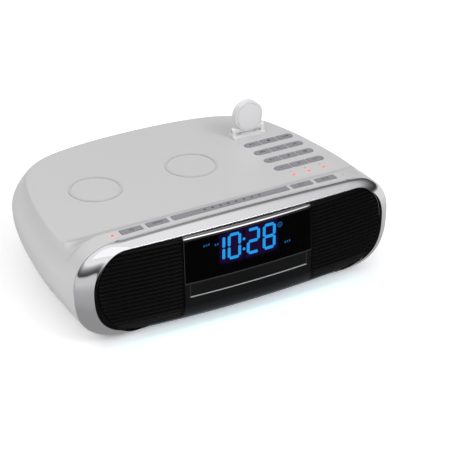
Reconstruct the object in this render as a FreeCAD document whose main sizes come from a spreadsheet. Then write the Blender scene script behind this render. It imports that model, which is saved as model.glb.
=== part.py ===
import FreeCAD, Part
import math
import os
import Sketcher

V = FreeCAD.Vector
TURN = FreeCAD.Rotation

# Clock radio: a rounded pod with a flat charging deck, a bright collar round a bowed black front,
# a drawer compact-disc mechanism, two speakers and a fold-down watch charger.
# Frame: X right, Y to the back, Z up; origin on the table under the middle of the front face.

doc = FreeCAD.newDocument("clock_radio")
sheet = doc.addObject("Spreadsheet::Sheet", "Sheet")

SIZES = [
    # pod
    ("foot_height", 4.6), ("pod_floor", 7.0), ("deck_level", 89.0), ("brow_level", 104.5), ("shell_wall", 3.0),
    ("seam_depth", 26.0), ("brow_back", 43.0), ("ramp_foot", 69.0), ("deck_half", 161.9), ("pod_back", 255.2),
    ("side_swell", 4.6), ("hoop_half", 172.5), ("hoop_mid", 60.0),
    # front
    ("face_front", 2.0), ("bow_radius", 1000.0), ("grille_plate", 2.6), ("rib_height", 1.5), ("rib_pitch", 4.2),
    ("centre_half", 69.6), ("lens_low", 52.2), ("lens_high", 100.6), ("lens_plate", 2.4), ("baffle_plate", 3.0),
    ("door_half", 63.5), ("door_low", 37.7), ("door_high", 50.9), ("door_gap", 0.35),
    # keys
    ("key_gap", 0.25), ("key_stroke", 1.0), ("row_key_wide", 22.4), ("row_key_deep", 8.1), ("row_key_y", 36.0),
    ("snooze_wide", 127.0), ("grid_key_wide", 18.2), ("grid_key_deep", 9.6), ("grid_pitch_y", 20.2),
    ("grid_x", 117.4), ("grid_first_y", 102.4), ("grid_step_x", 19.6), ("grid_end_radius", 4.8),
    # drawer mechanism
    ("disc_y", 68.0), ("tray_wide", 124.0), ("tray_long", 136.0), ("tray_floor", 41.9), ("tray_thick", 5.0),
    ("disc_well", 60.5), ("deck_wide", 142.0), ("deck_long", 150.0), ("rail_height", 26.0), ("spindle_bore", 1.05),
    ("rod_radius", 1.5), ("rod_gap", 0.05), ("rod_spread", 17.0), ("rod_long", 64.0), ("table_radius", 15.0),
    # speakers
    ("speaker_x", 112.0), ("speaker_z", 58.0), ("cone_radius", 30.0), ("basket_radius", 36.0),
    ("magnet_radius", 19.0), ("magnet_thick", 12.0), ("speaker_deep", 20.0),
    # charging
    ("coil_outer", 22.0), ("coil_inner", 10.0), ("coil_thick", 2.4), ("pad_left_x", -88.0), ("pad_right_x", 19.5),
    ("pad_y", 152.0), ("puck_x", 106.0), ("puck_y", 188.0), ("puck_z", 111.2), ("puck_radius", 16.2),
    ("puck_thick", 8.0), ("hinge_y", 188.0), ("hinge_z", 96.4), ("pin_radius", 1.5),
    # boards and fixings
    ("board_thick", 1.6), ("screw_radius", 1.4), ("screw_long", 8.0), ("foot_radius", 9.0),
]
for row, (name, value) in enumerate(SIZES, 1):
    sheet.set("A%d" % row, name)
    sheet.set("B%d" % row, str(value))
    sheet.setAlias("B%d" % row, name)
doc.recompute()
N = {name: float(sheet.get(name)) for name, value in SIZES}
nodes = []


def bind(obj, path, text):
    """Drive a property from the sheet; every word in text that is a size becomes a sheet reference."""
    words = []
    for word in text.replace("(", " ( ").replace(")", " ) ").replace("*", " * ").replace("/", " / ").split():
        words.append("Sheet." + word if word in N else word)
    obj.setExpression(path, " ".join(words))


def keep(obj, label):
    obj.Label = label
    nodes.append(obj)
    return obj


def body(label, node=True):
    made = doc.addObject("PartDesign::Body", label)
    made.Label = label
    if hasattr(made, "AllowCompound"):
        made.AllowCompound = True
    if node:
        nodes.append(made)
    return made


def plane(host, role):
    return [part for part in host.Origin.OriginFeatures if part.Role == role][0]


count = [0]
GEAR_PHASE = 0.0


def sketch(host, role, lift="0", across="0", up="0"):
    """A sketch on one of the body's own planes, moved by sheet-driven offsets."""
    count[0] += 1
    made = host.newObject("Sketcher::SketchObject", "%s_sketch_%d" % (host.Name, count[0]))
    made.AttachmentSupport = [(plane(host, role), "")]
    made.MapMode = "FlatFace"
    for path, text in (("x", across), ("y", up), ("z", lift)):
        if text != "0":
            bind(made, "AttachmentOffset.Base." + path, text)
    return made


def named(made, constraint, text):
    index = made.addConstraint(constraint)
    made.renameConstraint(index, "size_%d" % index)
    bind(made, "Constraints.size_%d" % index, text)


def rectangle(made, wide, high):
    corners = [V(-9, -9, 0), V(9, -9, 0), V(9, 9, 0), V(-9, 9, 0)]
    base = made.GeometryCount
    for index in range(4):
        made.addGeometry(Part.LineSegment(corners[index], corners[(index + 1) % 4]), False)
    for index in range(4):
        made.addConstraint(Sketcher.Constraint("Coincident", base + index, 2, base + (index + 1) % 4, 1))
    for index in (0, 2):
        made.addConstraint(Sketcher.Constraint("Horizontal", base + index))
        made.addConstraint(Sketcher.Constraint("Vertical", base + index + 1))
    made.addConstraint(Sketcher.Constraint("Symmetric", base, 1, base + 2, 1, -1, 1))
    named(made, Sketcher.Constraint("DistanceX", base, 1, base, 2, 18.0), wide)
    named(made, Sketcher.Constraint("DistanceY", base + 1, 1, base + 1, 2, 18.0), high)
    return made


def circle(made, radius):
    base = made.addGeometry(Part.Circle(V(0, 0, 0), V(0, 0, 1), 5.0), False)
    made.addConstraint(Sketcher.Constraint("Coincident", base, 3, -1, 1))
    named(made, Sketcher.Constraint("Radius", base, 5.0), radius)
    return made


def stadium(made, wide, radius):
    """A slot along the sketch's X axis: wide is centre to centre, radius is the end radius."""
    base = made.GeometryCount
    made.addGeometry(Part.ArcOfCircle(Part.Circle(V(9, 0, 0), V(0, 0, 1), 3), -math.pi / 2, math.pi / 2), False)
    made.addGeometry(Part.ArcOfCircle(Part.Circle(V(-9, 0, 0), V(0, 0, 1), 3), math.pi / 2, 3 * math.pi / 2), False)
    made.addGeometry(Part.LineSegment(V(9, 3, 0), V(-9, 3, 0)), False)
    made.addGeometry(Part.LineSegment(V(-9, -3, 0), V(9, -3, 0)), False)
    joins = ((0, 2, 2, 1), (2, 2, 1, 1), (1, 2, 3, 1), (3, 2, 0, 1))
    for first, end, second, start in joins:
        made.addConstraint(Sketcher.Constraint("Tangent", base + first, end, base + second, start))
    made.addConstraint(Sketcher.Constraint("Symmetric", base, 3, base + 1, 3, -1, 1))
    made.addConstraint(Sketcher.Constraint("PointOnObject", base, 3, -1))
    made.addConstraint(Sketcher.Constraint("Equal", base, base + 1))
    named(made, Sketcher.Constraint("Radius", base, 3.0), radius)
    named(made, Sketcher.Constraint("DistanceX", base + 1, 3, base, 3, 18.0), wide)
    return made


def outline(made, points, closing=True):
    """A closed run of straight lines; every corner is joined."""
    base = made.GeometryCount
    total = len(points)
    for index in range(total):
        first, second = points[index], points[(index + 1) % total]
        made.addGeometry(Part.LineSegment(V(first[0], first[1], 0), V(second[0], second[1], 0)), False)
    for index in range(total):
        made.addConstraint(Sketcher.Constraint("Coincident", base + index, 2, base + (index + 1) % total, 1))
    return made


def smooth(made, points, straight=True):
    """One interpolated curve through the points, closed by a straight line or by itself."""
    curve = Part.BSplineCurve()
    spots = [V(spot[0], spot[1], 0) for spot in points]
    if straight:
        curve.interpolate(spots)
        made.addGeometry(curve, False)
        made.addGeometry(Part.LineSegment(spots[-1], spots[0]), False)
    else:
        curve.interpolate(Points=spots, PeriodicFlag=True)
        made.addGeometry(curve, False)
    return made


def pad(host, made, length, both=False, back=False):
    grown = host.newObject("PartDesign::Pad", made.Name + "_pad")
    grown.Profile = made
    bind(grown, "Length", length)
    if both:
        grown.SideType = "Symmetric" if hasattr(grown, "SideType") else 0
        if not hasattr(grown, "SideType"):
            grown.Midplane = True
    grown.Reversed = back
    made.Visibility = False
    return grown


def pocket(host, made, depth=None, back=False, both=False):
    cut = host.newObject("PartDesign::Pocket", made.Name + "_cut")
    cut.Profile = made
    if depth is None:
        cut.Type = "ThroughAll"
        both = True
    else:
        bind(cut, "Length", depth)
    if both:
        if hasattr(cut, "SideType"):
            cut.SideType = "Symmetric"
        else:
            cut.Midplane = True
    cut.Reversed = back
    return cut


def place(obj, across="0", deep="0", up="0", turn=None):
    if turn is not None:
        obj.Placement = FreeCAD.Placement(V(0, 0, 0), turn)
    for path, text in (("x", across), ("y", deep), ("z", up)):
        bind(obj, "Placement.Base." + path, text)
    return obj


def block(label, wide, deep, high, at, node=True):
    """A rectangular body: at is the middle of its bottom face."""
    host = body(label, node)
    pad(host, rectangle(sketch(host, "XY_Plane"), wide, deep), high)
    return place(host, *at)


def barrel(label, radius, high, at, role="XY_Plane", node=True, bore=None):
    """A round body along the plane's normal, with an optional through bore."""
    host = body(label, node)
    pad(host, circle(sketch(host, role), radius), high)
    if bore:
        pocket(host, circle(sketch(host, role), bore))
    return place(host, *at)


def tool(kind, label, **values):
    made = doc.addObject("Part::" + kind, label)
    for path, text in values.items():
        bind(made, path, text)
    return made


def joined(label, parts, node=True):
    made = doc.addObject("Part::MultiFuse", label)
    made.Shapes = parts
    made.Label = label
    if node:
        nodes.append(made)
    return made


def group(label, parts):
    made = doc.addObject("Part::Compound", label)
    made.Links = parts
    return keep(made, label)


def cut(label, base, cutter, node=True):
    made = doc.addObject("Part::Cut", label)
    made.Base = base
    made.Tool = cutter
    made.Label = label
    if node:
        nodes.append(made)
    return made


def common(label, first, second, node=True):
    made = doc.addObject("Part::MultiCommon", label)
    made.Shapes = [first, second]
    made.Label = label
    if node:
        nodes.append(made)
    return made


def mirrored(obj, label):
    made = doc.addObject("Part::Mirroring", label)
    made.Source = obj
    made.Normal = V(1, 0, 0)
    made.Label = label
    return made


# ---------------------------------------------------------------- pod outlines
TOP_CORNER = (122.0, 50.5, 43.0, 2.25)      # centre x, reach out, reach up, squareness
LOW_CORNER = (118.0, 54.5, 55.0, 2.8)


def hoop_points(inset=0.0, steps=7):
    """Half outline of the front hoop from the middle of the top to the middle of the bottom."""
    mid = N["hoop_mid"]
    points = [(0.0, N["brow_level"] - inset), (64.0, N["brow_level"] - 0.4 - inset)]
    for centre, out, rise, power in (TOP_CORNER, LOW_CORNER):
        out, rise, sign = out - inset, rise - inset, 1 if power < 2.5 else -1
        for step in range(steps + 1):
            angle = math.pi / 2 * (steps - step) / steps if sign > 0 else math.pi / 2 * step / steps
            if sign < 0 and step == 0:
                continue
            across = centre + out * max(math.cos(angle), 0) ** (2 / power)
            points.append((across, mid + sign * rise * math.sin(angle) ** (2 / power)))
    points.append((60.0, points[-1][1]))
    return points


def hoop_width(level):
    """Half width of the hoop at a height."""
    mid = N["hoop_mid"]
    centre, out, rise, power = TOP_CORNER if level >= mid else LOW_CORNER
    share = min(abs(level - mid) / rise, 1.0)
    return centre + out * (1 - share ** power) ** (1 / power)


DECK_SIDE = [(161.9, 26), (161.9, 48), (161.6, 69), (160.8, 98), (157.2, 131), (151.2, 166), (144.6, 191),
             (137.5, 210), (126.5, 225.5), (107, 240), (78, 249), (40, 253.9), (0, 255.2)]


def plan_points(level, inset=0.0):
    """Plan outline of the pod at a height, right front corner round the back to the left."""
    reach = hoop_width(level) - N["deck_half"]
    swell = N["side_swell"] * math.sin(math.pi * min(max((level - 25.0) / 64.0, 0), 1)) ** 2
    right = []
    for index, (across, deep) in enumerate(DECK_SIDE):
        before = DECK_SIDE[max(index - 1, 0)]
        after = DECK_SIDE[index + 1] if index + 1 < len(DECK_SIDE) else (-40, 253.9)
        run = V(after[0] - before[0], after[1] - before[1], 0).normalize()
        share = min(max((deep - N["seam_depth"]) / 50.0, 0), 1)
        grow = reach + swell * share * share * (3 - 2 * share) - inset
        right.append((across + run.y * grow, deep - run.x * grow))
    right[0] = (hoop_width(level) - inset, N["seam_depth"] - (2.0 if inset else 0.0))
    right[-1] = (0.0, right[-1][1])
    return right + [(-across, deep) for across, deep in reversed(right[:-1])]


LEVELS = [7, 11, 17, 25, 36, 48, 60, 71, 81, 89]


def pod(host, kind, levels, inset, shift):
    sections = []
    for level in levels:
        made = host.newObject("Sketcher::SketchObject", "%s_level_%d_%s" % (host.Name, level, kind[:3]))
        made.AttachmentSupport = [(plane(host, "XY_Plane"), "")]
        made.MapMode = "FlatFace"
        bind(made, "AttachmentOffset.Base.z", "pod_floor + %g" % (level - 7.0 + shift(level)))
        smooth(made, plan_points(level, inset))
        sections.append(made)
    made = host.newObject("PartDesign::" + kind, "%s_%s" % (host.Name, kind))
    made.Profile = sections[0]
    made.Sections = sections[1:]
    made.Ruled = False
    return made



# ---------------------------------------------------------------- upper cabinet
cabinet = body("cabinet_shell", node=False)
pod(cabinet, "AdditiveLoft", LEVELS, 0.0, lambda level: 0.0)


def arch(made, inset):
    """The part of the hoop above the deck, reaching 1 mm into what it joins."""
    base = N["deck_level"] - inset
    half = [point for point in hoop_points(inset) if point[1] > base + 0.3]
    half.append((hoop_width(N["deck_level"]) - inset - 0.3, base - 1.0))
    smooth(made, [(-across, high) for across, high in reversed(half)] + half[1:])
    return made


def ramp(made, drop):
    """The slope behind the brow, lowered by drop for the inside face."""
    top, base = N["brow_level"] + 4.0, N["deck_level"] - drop
    slope = (N["brow_level"] - N["deck_level"]) / (N["ramp_foot"] - N["brow_back"])
    start = N["brow_back"] - (top - N["brow_level"]) / slope - drop * 0.27
    return outline(made, [(start, top), (start + 90, top), (start + 90, base),
                          (N["ramp_foot"] - drop * 0.27, base)])


pad(cabinet, arch(sketch(cabinet, "XZ_Plane", lift="- seam_depth"), 0.0), "ramp_foot - seam_depth", back=True)
pocket(cabinet, ramp(sketch(cabinet, "YZ_Plane"), 0.0))
pod(cabinet, "SubtractiveLoft", [11, 17, 25, 36, 48, 60, 71, 81, 86], 3.0,
    lambda level: -1.0 if level == 11 else 0.0)
floor_hole = sketch(cabinet, "XY_Plane", lift="pod_floor + 4")
smooth(floor_hole, plan_points(7, 12.0))
pocket(cabinet, floor_hole, "6")

ROW_KEYS = [("power_button", -1, "row_key_wide", 106.5, 103.5), ("mode_button", -1, "row_key_wide", 79.2, 103.95),
            ("snooze_bar", 0, "snooze_wide", 0.0, 104.3), ("alarm_one_button", 1, "row_key_wide", 79.2, 103.95),
            ("alarm_two_button", 1, "row_key_wide", 106.5, 103.5)]
for label, sign, wide, out, top in ROW_KEYS:
    hole = sketch(cabinet, "XY_Plane", lift="brow_level + 5", across="%g" % (sign * out), up="row_key_y")
    rectangle(hole, wide + " + 2 * key_gap", "row_key_deep + 2 * key_gap")
    pocket(cabinet, hole, "14")
for row in range(4):
    for column in (-1, 0, 1):
        turned_in = "%d * grid_end_radius / 2" % column
        hole = sketch(cabinet, "XY_Plane", lift="deck_level + 5", up="grid_first_y + %d * grid_pitch_y" % row,
                      across="grid_x + %d * grid_step_x - %s" % (column, turned_in))
        wide = "grid_key_wide + 2 * key_gap" + (" - grid_end_radius" if column else "")
        pocket(cabinet, rectangle(hole, wide, "grid_key_deep + 2 * key_gap"), "12")
        if column:
            tip = sketch(cabinet, "XY_Plane", lift="deck_level + 5", up="grid_first_y + %d * grid_pitch_y" % row,
                         across="grid_x + %d * (grid_step_x + grid_key_wide / 2 - grid_end_radius)" % column)
            pocket(cabinet, circle(tip, "grid_end_radius + key_gap"), "12")
LIGHTS = [(-126.5, 35.6, 102.9, 1.5), (100.0, 83.5, 89.0, 1.5), (117.4, 83.2, 89.0, 1.5), (134.8, 83.0, 89.0, 1.5)]
for across, deep, top, radius in LIGHTS + [(126.5, 35.6, 102.9, 0.7)]:
    hole = sketch(cabinet, "XY_Plane", lift="%g" % (top + 5), across="%g" % across, up="%g" % deep)
    pocket(cabinet, circle(hole, "%g" % (radius + 0.1)), "14")
window = sketch(cabinet, "XZ_Plane", lift="-300", up="32")
rectangle(window, "100.4", "26.4")
pocket(cabinet, window, "60", back=True)
CASE_SCREWS = [(134.5, 60), (131.0, 125), (104.5, 209)]
for across, deep in CASE_SCREWS:
    for sign in (-1, 1):
        hole = sketch(cabinet, "XY_Plane", lift="pod_floor + 5", across="%g" % (sign * across), up="%g" % deep)
        pocket(cabinet, circle(hole, "screw_radius + 0.1"), "8")
for sign in (-1, 1):
    hole = sketch(cabinet, "XY_Plane", lift="deck_level + 2", across="puck_x + %g" % (sign * 9), up="hinge_y")
    pocket(cabinet, circle(hole, "screw_radius + 0.1"), "8")
brow_space = body("brow_space", node=False)
pad(brow_space, arch(sketch(brow_space, "XZ_Plane", lift="- seam_depth + 2"), 3.0),
    "ramp_foot - seam_depth - 2", back=True)
pocket(brow_space, ramp(sketch(brow_space, "YZ_Plane"), 3.0))
cut("upper_cabinet", cabinet, brow_space)

# ---------------------------------------------------------------- bottom cover
cover = body("bottom_cover")
plate = sketch(cover, "XY_Plane", lift="foot_height")
smooth(plate, plan_points(7, 2.0))
pad(cover, plate, "pod_floor - foot_height")
front_trim = sketch(cover, "XY_Plane", lift="pod_floor + 5", up="14")
rectangle(front_trim, "400", "29")
pocket(cover, front_trim, "20")
for across, deep in CASE_SCREWS:
    for sign in (-1, 1):
        hole = sketch(cover, "XY_Plane", lift="pod_floor + 5", across="%g" % (sign * across), up="%g" % deep)
        pocket(cover, circle(hole, "screw_radius + 0.1"), "20")
for step in range(-5, 6):
    hole = sketch(cover, "XY_Plane", lift="pod_floor + 5", across="%g" % (step * 9), up="118")
    pocket(cover, rectangle(hole, "3.2", "34"), "20")
for across, deep in ((60, 176), (60, 205)):
    for sign in (-1, 1):
        stand = sketch(cover, "XY_Plane", lift="foot_height + 1", across="%g" % (sign * across), up="%g" % deep)
        pad(cover, circle(stand, "3.5"), "12 - foot_height - 1")

# ---------------------------------------------------------------- collar round the front
RING_STEPS = [(25.9, 172.5, 104.5, 5.0), (22, 171.4, 104.45, 5.3), (18, 168.2, 104.3, 6.2), (14, 163.2, 104.0, 8.6),
              (11, 158.2, 103.7, 11.6), (7, 152.6, 103.2, 16.0), (2, 146.0, 102.4, 22.0)]


def oval(half, top, low, inset=0.0, soft=0.0):
    """Closed outline with rounded shoulders: half width, top and low heights."""
    mid = N["hoop_mid"]
    points = [(0.0, top - inset), (60.0, top - 0.35 - inset)]
    for out, rise, power, sign in ((50.5 - soft, top - 1.5 - mid, 2.25, 1), (54.5 - soft, mid - low, 2.8, -1)):
        centre, out, rise = half - out, out - inset, rise - inset
        for step in range(8):
            angle = math.pi / 2 * (7 - step) / 7 if sign > 0 else math.pi / 2 * step / 7
            if sign < 0 and step == 0:
                continue
            across = centre + out * max(math.cos(angle), 0) ** (2 / power)
            points.append((across, mid + sign * rise * math.sin(angle) ** (2 / power)))
    points += [(60.0, low + inset), (0.0, low + inset)]
    return points + [(-across, high) for across, high in reversed(points[1:-1])]


def mouth(inset=0.0):
    """Outline of the front opening."""
    points = [(0.0, 101.2 - inset), (60.0, 101.0 - inset)]
    for centre, out, rise, power, sign in ((118, 37, 38.5, 2.2, 1), (105, 50, 55.0, 1.95, -1)):
        out, rise = out - inset, rise - inset
        for step in range(7):
            angle = math.pi / 2 * (6 - step) / 6 if sign > 0 else math.pi / 2 * step / 6
            if sign < 0 and step == 0:
                continue
            across = centre + out * max(math.cos(angle), 0) ** (2 / power)
            points.append((across, 62.0 + sign * rise * math.sin(angle) ** (2 / power)))
    points += [(50.0, 7.0 + inset), (0.0, 7.0 + inset)]
    return points + [(-across, high) for across, high in reversed(points[1:-1])]


def bow(across):
    return N["bow_radius"] - math.sqrt(N["bow_radius"] ** 2 - across ** 2)


ring = body("bezel_ring")
hoops = []
for deep, half, top, low in RING_STEPS:
    made = sketch(ring, "XZ_Plane", lift="%g - seam_depth" % (26 - deep))
    smooth(made, oval(half, top, low, soft=(172.5 - half) * 0.35), straight=False)
    hoops.append(made)
roll = ring.newObject("PartDesign::AdditiveLoft", "collar_roll")
roll.Profile = hoops[0]
roll.Sections = hoops[1:]
sleeve = sketch(ring, "XZ_Plane", lift="2 - seam_depth")
smooth(sleeve, oval(172.5, 104.5, 7.0, 4.9), straight=False)
pad(ring, sleeve, "5.5", back=True)
opening = sketch(ring, "XZ_Plane")
smooth(opening, mouth(), straight=False)
pocket(ring, opening)
hollow = sketch(ring, "XZ_Plane", lift="-40")
smooth(hollow, oval(172.5, 104.5, 7.0, 6.7), straight=False)
pocket(ring, hollow, "15.5", back=True)
front_cut = sketch(ring, "XY_Plane", lift="120")
front_cut.addGeometry(Part.Arc(V(-190, 14.55, 0), V(0, 4.0, 0), V(190, 14.55, 0)), False)
for first, second in (((190, 14.55), (190, -30)), ((190, -30), (-190, -30)), ((-190, -30), (-190, 14.55))):
    front_cut.addGeometry(Part.LineSegment(V(first[0], first[1], 0), V(second[0], second[1], 0)), False)
pocket(ring, front_cut, "130")

# ---------------------------------------------------------------- bowed front
# Every front piece has its own origin on the upright axis of the bow, behind the set.
AXIS_Y = "bow_radius - face_front"


def face_path(step_length=None):
    """Side profile of the front from the lower lip to the rolled top edge: (y, z, normal y, normal z)."""
    spots = []
    for step in range(13):
        angle = math.radians(248 - step * 68 / 12)
        spots.append((18 + 20 * math.cos(angle), 28 + 20 * math.sin(angle), math.cos(angle), math.sin(angle)))
    spots.append((-2.0, 52.2, -1.0, 0.0))
    spots.append((0.3, 94.6, -0.9985, 0.054))
    for step in range(1, 7):
        angle = math.radians(176.9 - step * 86.9 / 6)
        spots.append((6.3 + 6 * math.cos(angle), 94.6 + 6 * math.sin(angle), math.cos(angle), math.sin(angle)))
    return spots


def along(path, length):
    """Point and normal at a length along the profile."""
    for first, second in zip(path, path[1:]):
        run = math.hypot(second[0] - first[0], second[1] - first[1])
        if length <= run:
            share = length / run
            return [first[item] + (second[item] - first[item]) * share for item in range(4)]
        length -= run
    return list(path[-1])


def bowed(label, points, angle, swing=0.0, node=False):
    """A profile in Y and Z turned about the bow axis through an angle in degrees."""
    host = body(label, node)
    made = sketch(host, "YZ_Plane")
    centre = N["bow_radius"] - N["face_front"]
    outline(made, [(deep - centre, high) for deep, high in points])
    turned = host.newObject("PartDesign::Revolution", label + "_turn")
    turned.Profile = made
    turned.ReferenceAxis = (made, ["V_Axis"])
    turned.Angle = angle
    turned.Midplane = True
    place(host, "0", AXIS_Y, "0", TURN(V(0, 0, 1), swing))
    return host


def skin(low, high, thick):
    """Closed profile of a plate that follows the face between two heights."""
    spots = [spot for spot in face_path() if low - 0.01 <= spot[1] <= high + 0.01]
    whole = face_path()
    for edge in (low, high):
        for first, second in zip(whole, whole[1:]):
            if first[1] < edge - 0.01 and second[1] > edge + 0.01:
                share = (edge - first[1]) / (second[1] - first[1])
                spots.append(tuple(first[item] + (second[item] - first[item]) * share for item in range(4)))
    spots.sort(key=lambda spot: spot[1])
    outer = [(spot[0], spot[1]) for spot in spots]
    inner = [(spot[0] - thick * spot[2], spot[1] - thick * spot[3]) for spot in spots]
    return outer + list(reversed(inner))


mouth_block = body("mouth_block", node=False)
made = sketch(mouth_block, "XZ_Plane", lift="20")
smooth(made, mouth(0.3), straight=False)
pad(mouth_block, made, "60", back=True)


def trimmed(label, source):
    return common(label, source, mouth_block)


ribs = []
path = face_path()
total = sum(math.hypot(b[0] - a[0], b[1] - a[1]) for a, b in zip(path, path[1:]))
count_ribs = int((total - 4.0) / N["rib_pitch"])
for step in range(count_ribs):
    start = 2.0 + step * N["rib_pitch"]
    for part, sink in ((0.0, 1.0), (0.28, 1.0), (0.42, 0.0), (0.86, 0.0)):
        deep, high, across_n, up_n = along(path, start + part * N["rib_pitch"])
        ribs.append((deep - sink * N["rib_height"] * across_n, high - sink * N["rib_height"] * up_n))
back_line = []
for spot in reversed(path):
    back_line.append((spot[0] - N["grille_plate"] * spot[2], spot[1] - N["grille_plate"] * spot[3]))
grille_span = math.degrees(math.asin(160.0 / 1000) - math.asin(70.4 / 1000))
grille_mid = math.degrees(math.asin(160.0 / 1000) + math.asin(70.4 / 1000)) / 2
for label, sign in (("grille_left", -1), ("grille_right", 1)):
    trimmed(label, bowed(label + "_ribs", [(path[0][0], path[0][1])] + ribs + [(path[-1][0], path[-1][1])] +
                         back_line, grille_span, sign * grille_mid))
centre_span = 2 * math.degrees(math.asin(N["centre_half"] / 1000))
trimmed("display_lens", bowed("lens_plate", skin(52.2, 100.6, 2.4), centre_span))
door_span = 2 * math.degrees(math.asin((N["door_half"] + N["door_gap"]) / 1000))
fascia_whole = trimmed("fascia_whole", bowed("fascia_plate", skin(9.4, 51.9, 2.4), centre_span))
nodes.remove(fascia_whole)
slot = tool("Box", "door_slot", Length="2 * door_half + 2 * door_gap", Width="20",
            Height="door_high - door_low + 2 * door_gap")
place(slot, "- door_half - door_gap", "-10", "door_low - door_gap")
cut("lower_fascia", fascia_whole, slot)
lip = joined("door_whole", [bowed("door_plate", skin(37.7, 50.9, 2.4),
                                  2 * math.degrees(math.asin(N["door_half"] / 1000))),
                            block("door_back", "104", "2.6", "4.4", ("0", "1.1", "42.1"), node=False)], node=False)
keep(lip, "tray_door")
bowed("glow_light_bar", [(11.2, 7.3), (15.8, 7.3), (15.8, 9.2), (11.2, 9.2)], 11.6, node=True)
bowed("glow_led_strip", [(11.6, 9.3), (15.8, 9.3), (15.8, 10.9), (11.6, 10.9)], 11.4, node=True)

baffle_plate = trimmed("baffle_whole", bowed("baffle_turn", [(3.3, 19.4), (6.3, 15.8), (6.3, 97.6), (3.3, 95.6)],
                                             18.2))
nodes.remove(baffle_plate)
cutters = [tool("Box", "display_window", Length="124", Width="30", Height="42.5"),
           tool("Box", "tray_window", Length="133", Width="30", Height="18.5")]
place(cutters[0], "-62", "-5", "56")
place(cutters[1], "-66.5", "-5", "36.6")
lean_out = math.degrees(math.asin(N["speaker_x"] / 1000))


def drum(label, radius, long, near, side_sign, shift=0.0, rise=0.0, node=False):
    """A cylinder pointing to the back, in the frame of one speaker; near is its front face depth."""
    made = doc.addObject("Part::Cylinder", label)
    bind(made, "Radius", radius)
    bind(made, "Height", long)
    turn = TURN(V(0, 0, 1), side_sign * lean_out)
    centre = V(0, N["bow_radius"] - N["face_front"], 0)
    spot = centre + turn.multVec(V(shift, near - N["bow_radius"] + N["face_front"], N["speaker_z"] + rise))
    made.Placement = FreeCAD.Placement(spot, turn.multiply(TURN(V(1, 0, 0), -90)))
    return made


SPEAKER_SCREWS = [(23.7, 23.7), (-23.7, 23.7), (23.7, -23.7), (-23.7, -23.7)]
for sign in (-1, 1):
    cutters.append(drum("speaker_hole_%d" % sign, "cone_radius + 1.5", "20", -3, sign))
    for item, (shift, rise) in enumerate(SPEAKER_SCREWS):
        cutters.append(drum("screw_hole_%d_%d" % (sign, item), "screw_radius + 0.1", "20", -3, sign, shift, rise))
cut("front_baffle", baffle_plate, joined("baffle_cutters", cutters, node=False))

# ---------------------------------------------------------------- speakers


def turned_part(label, points, sign, near):
    """A profile of (depth, radius) turned about the speaker's axis."""
    host = body(label, node=False)
    made = sketch(host, "YZ_Plane", across="%g - bow_radius + face_front" % near, up="speaker_z")
    outline(made, points)
    turned = host.newObject("PartDesign::Revolution", label + "_turn")
    turned.Profile = made
    turned.ReferenceAxis = (made, ["H_Axis"])
    turned.Angle = 360
    place(host, "0", AXIS_Y, "0", TURN(V(0, 0, 1), sign * lean_out))
    return host


frames, cones, magnets, fixings = [], [], [], []
SPEAKER_BACK = 7.0
for sign, word in ((-1, "left"), (1, "right")):
    basket = turned_part("basket_" + word, [(0, 31), (0, 36), (2, 36), (2, 34.5), (18, 21.5), (20, 21.5), (20, 8),
                                            (18.5, 8), (18.5, 19.5), (2, 31)], sign, SPEAKER_BACK)
    drills = [drum("basket_hole_%s_%d" % (word, item), "screw_radius + 0.1", "12", 2, sign, shift, rise)
              for item, (shift, rise) in enumerate(SPEAKER_SCREWS)]
    drills += [drum("basket_head_%s_%d" % (word, item), "2.5", "16", SPEAKER_BACK + 2.0, sign, shift, rise)
               for item, (shift, rise) in enumerate(SPEAKER_SCREWS)]
    frames.append(cut("basket_drilled_" + word, basket, joined("basket_drills_" + word, drills, False), False))
    cones.append(turned_part("cone_" + word, [(0.4, 30.9), (0.4, 27), (12.5, 8.5), (9.5, 0), (10.3, 0), (13.6, 8.9),
                                              (1.5, 27.6), (1.5, 30.9)], sign, SPEAKER_BACK))
    magnets.append(drum("magnet_" + word, "magnet_radius", "magnet_thick", SPEAKER_BACK + 20, sign))
    for item, (shift, rise) in enumerate(SPEAKER_SCREWS):
        parts = [drum("shank_%s_%d" % (word, item), "screw_radius", "4", SPEAKER_BACK - 1.9, sign, shift, rise),
                 drum("head_%s_%d" % (word, item), "2.4", "1.5", SPEAKER_BACK + 2.0, sign, shift, rise)]
        fixings.append(joined("speaker_screw_%s_%d" % (word, item), parts, node=False))
group("speaker_frames", frames)
group("speaker_cones", cones)
group("speaker_magnets", magnets)

# ---------------------------------------------------------------- keys on the brow and the deck


def key(label, wide, deep, across, along_y, top, rise, ends=0):
    """A push key: cap, wider foot that stays under the shell, and a stem; local zero is the shell's top face."""
    host = body(label)
    if ends:
        pad(host, rectangle(sketch(host, "XY_Plane", lift="-3.4", across="%g * grid_end_radius / 2" % -ends),
                            "(%s) - grid_end_radius" % wide, deep), "3.4 + %g" % rise)
        tip = sketch(host, "XY_Plane", lift="-3.4", across="%g * ((%s) / 2 - grid_end_radius)" % (ends, wide))
        pad(host, circle(tip, "grid_end_radius"), "3.4 + %g" % rise)
    else:
        pad(host, rectangle(sketch(host, "XY_Plane", lift="-3.4"), wide, deep), "3.4 + %g" % rise)
    foot_wide = "(%s)" % wide if deep == "grid_key_deep" else "(%s) + 1.6" % wide
    pad(host, rectangle(sketch(host, "XY_Plane", lift="-4.5"), foot_wide, "(%s) + 1.8" % deep), "1.1")
    pad(host, circle(sketch(host, "XY_Plane", lift="-5.4"), "1.2"), "0.9")
    return place(host, across, along_y, top)


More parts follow.
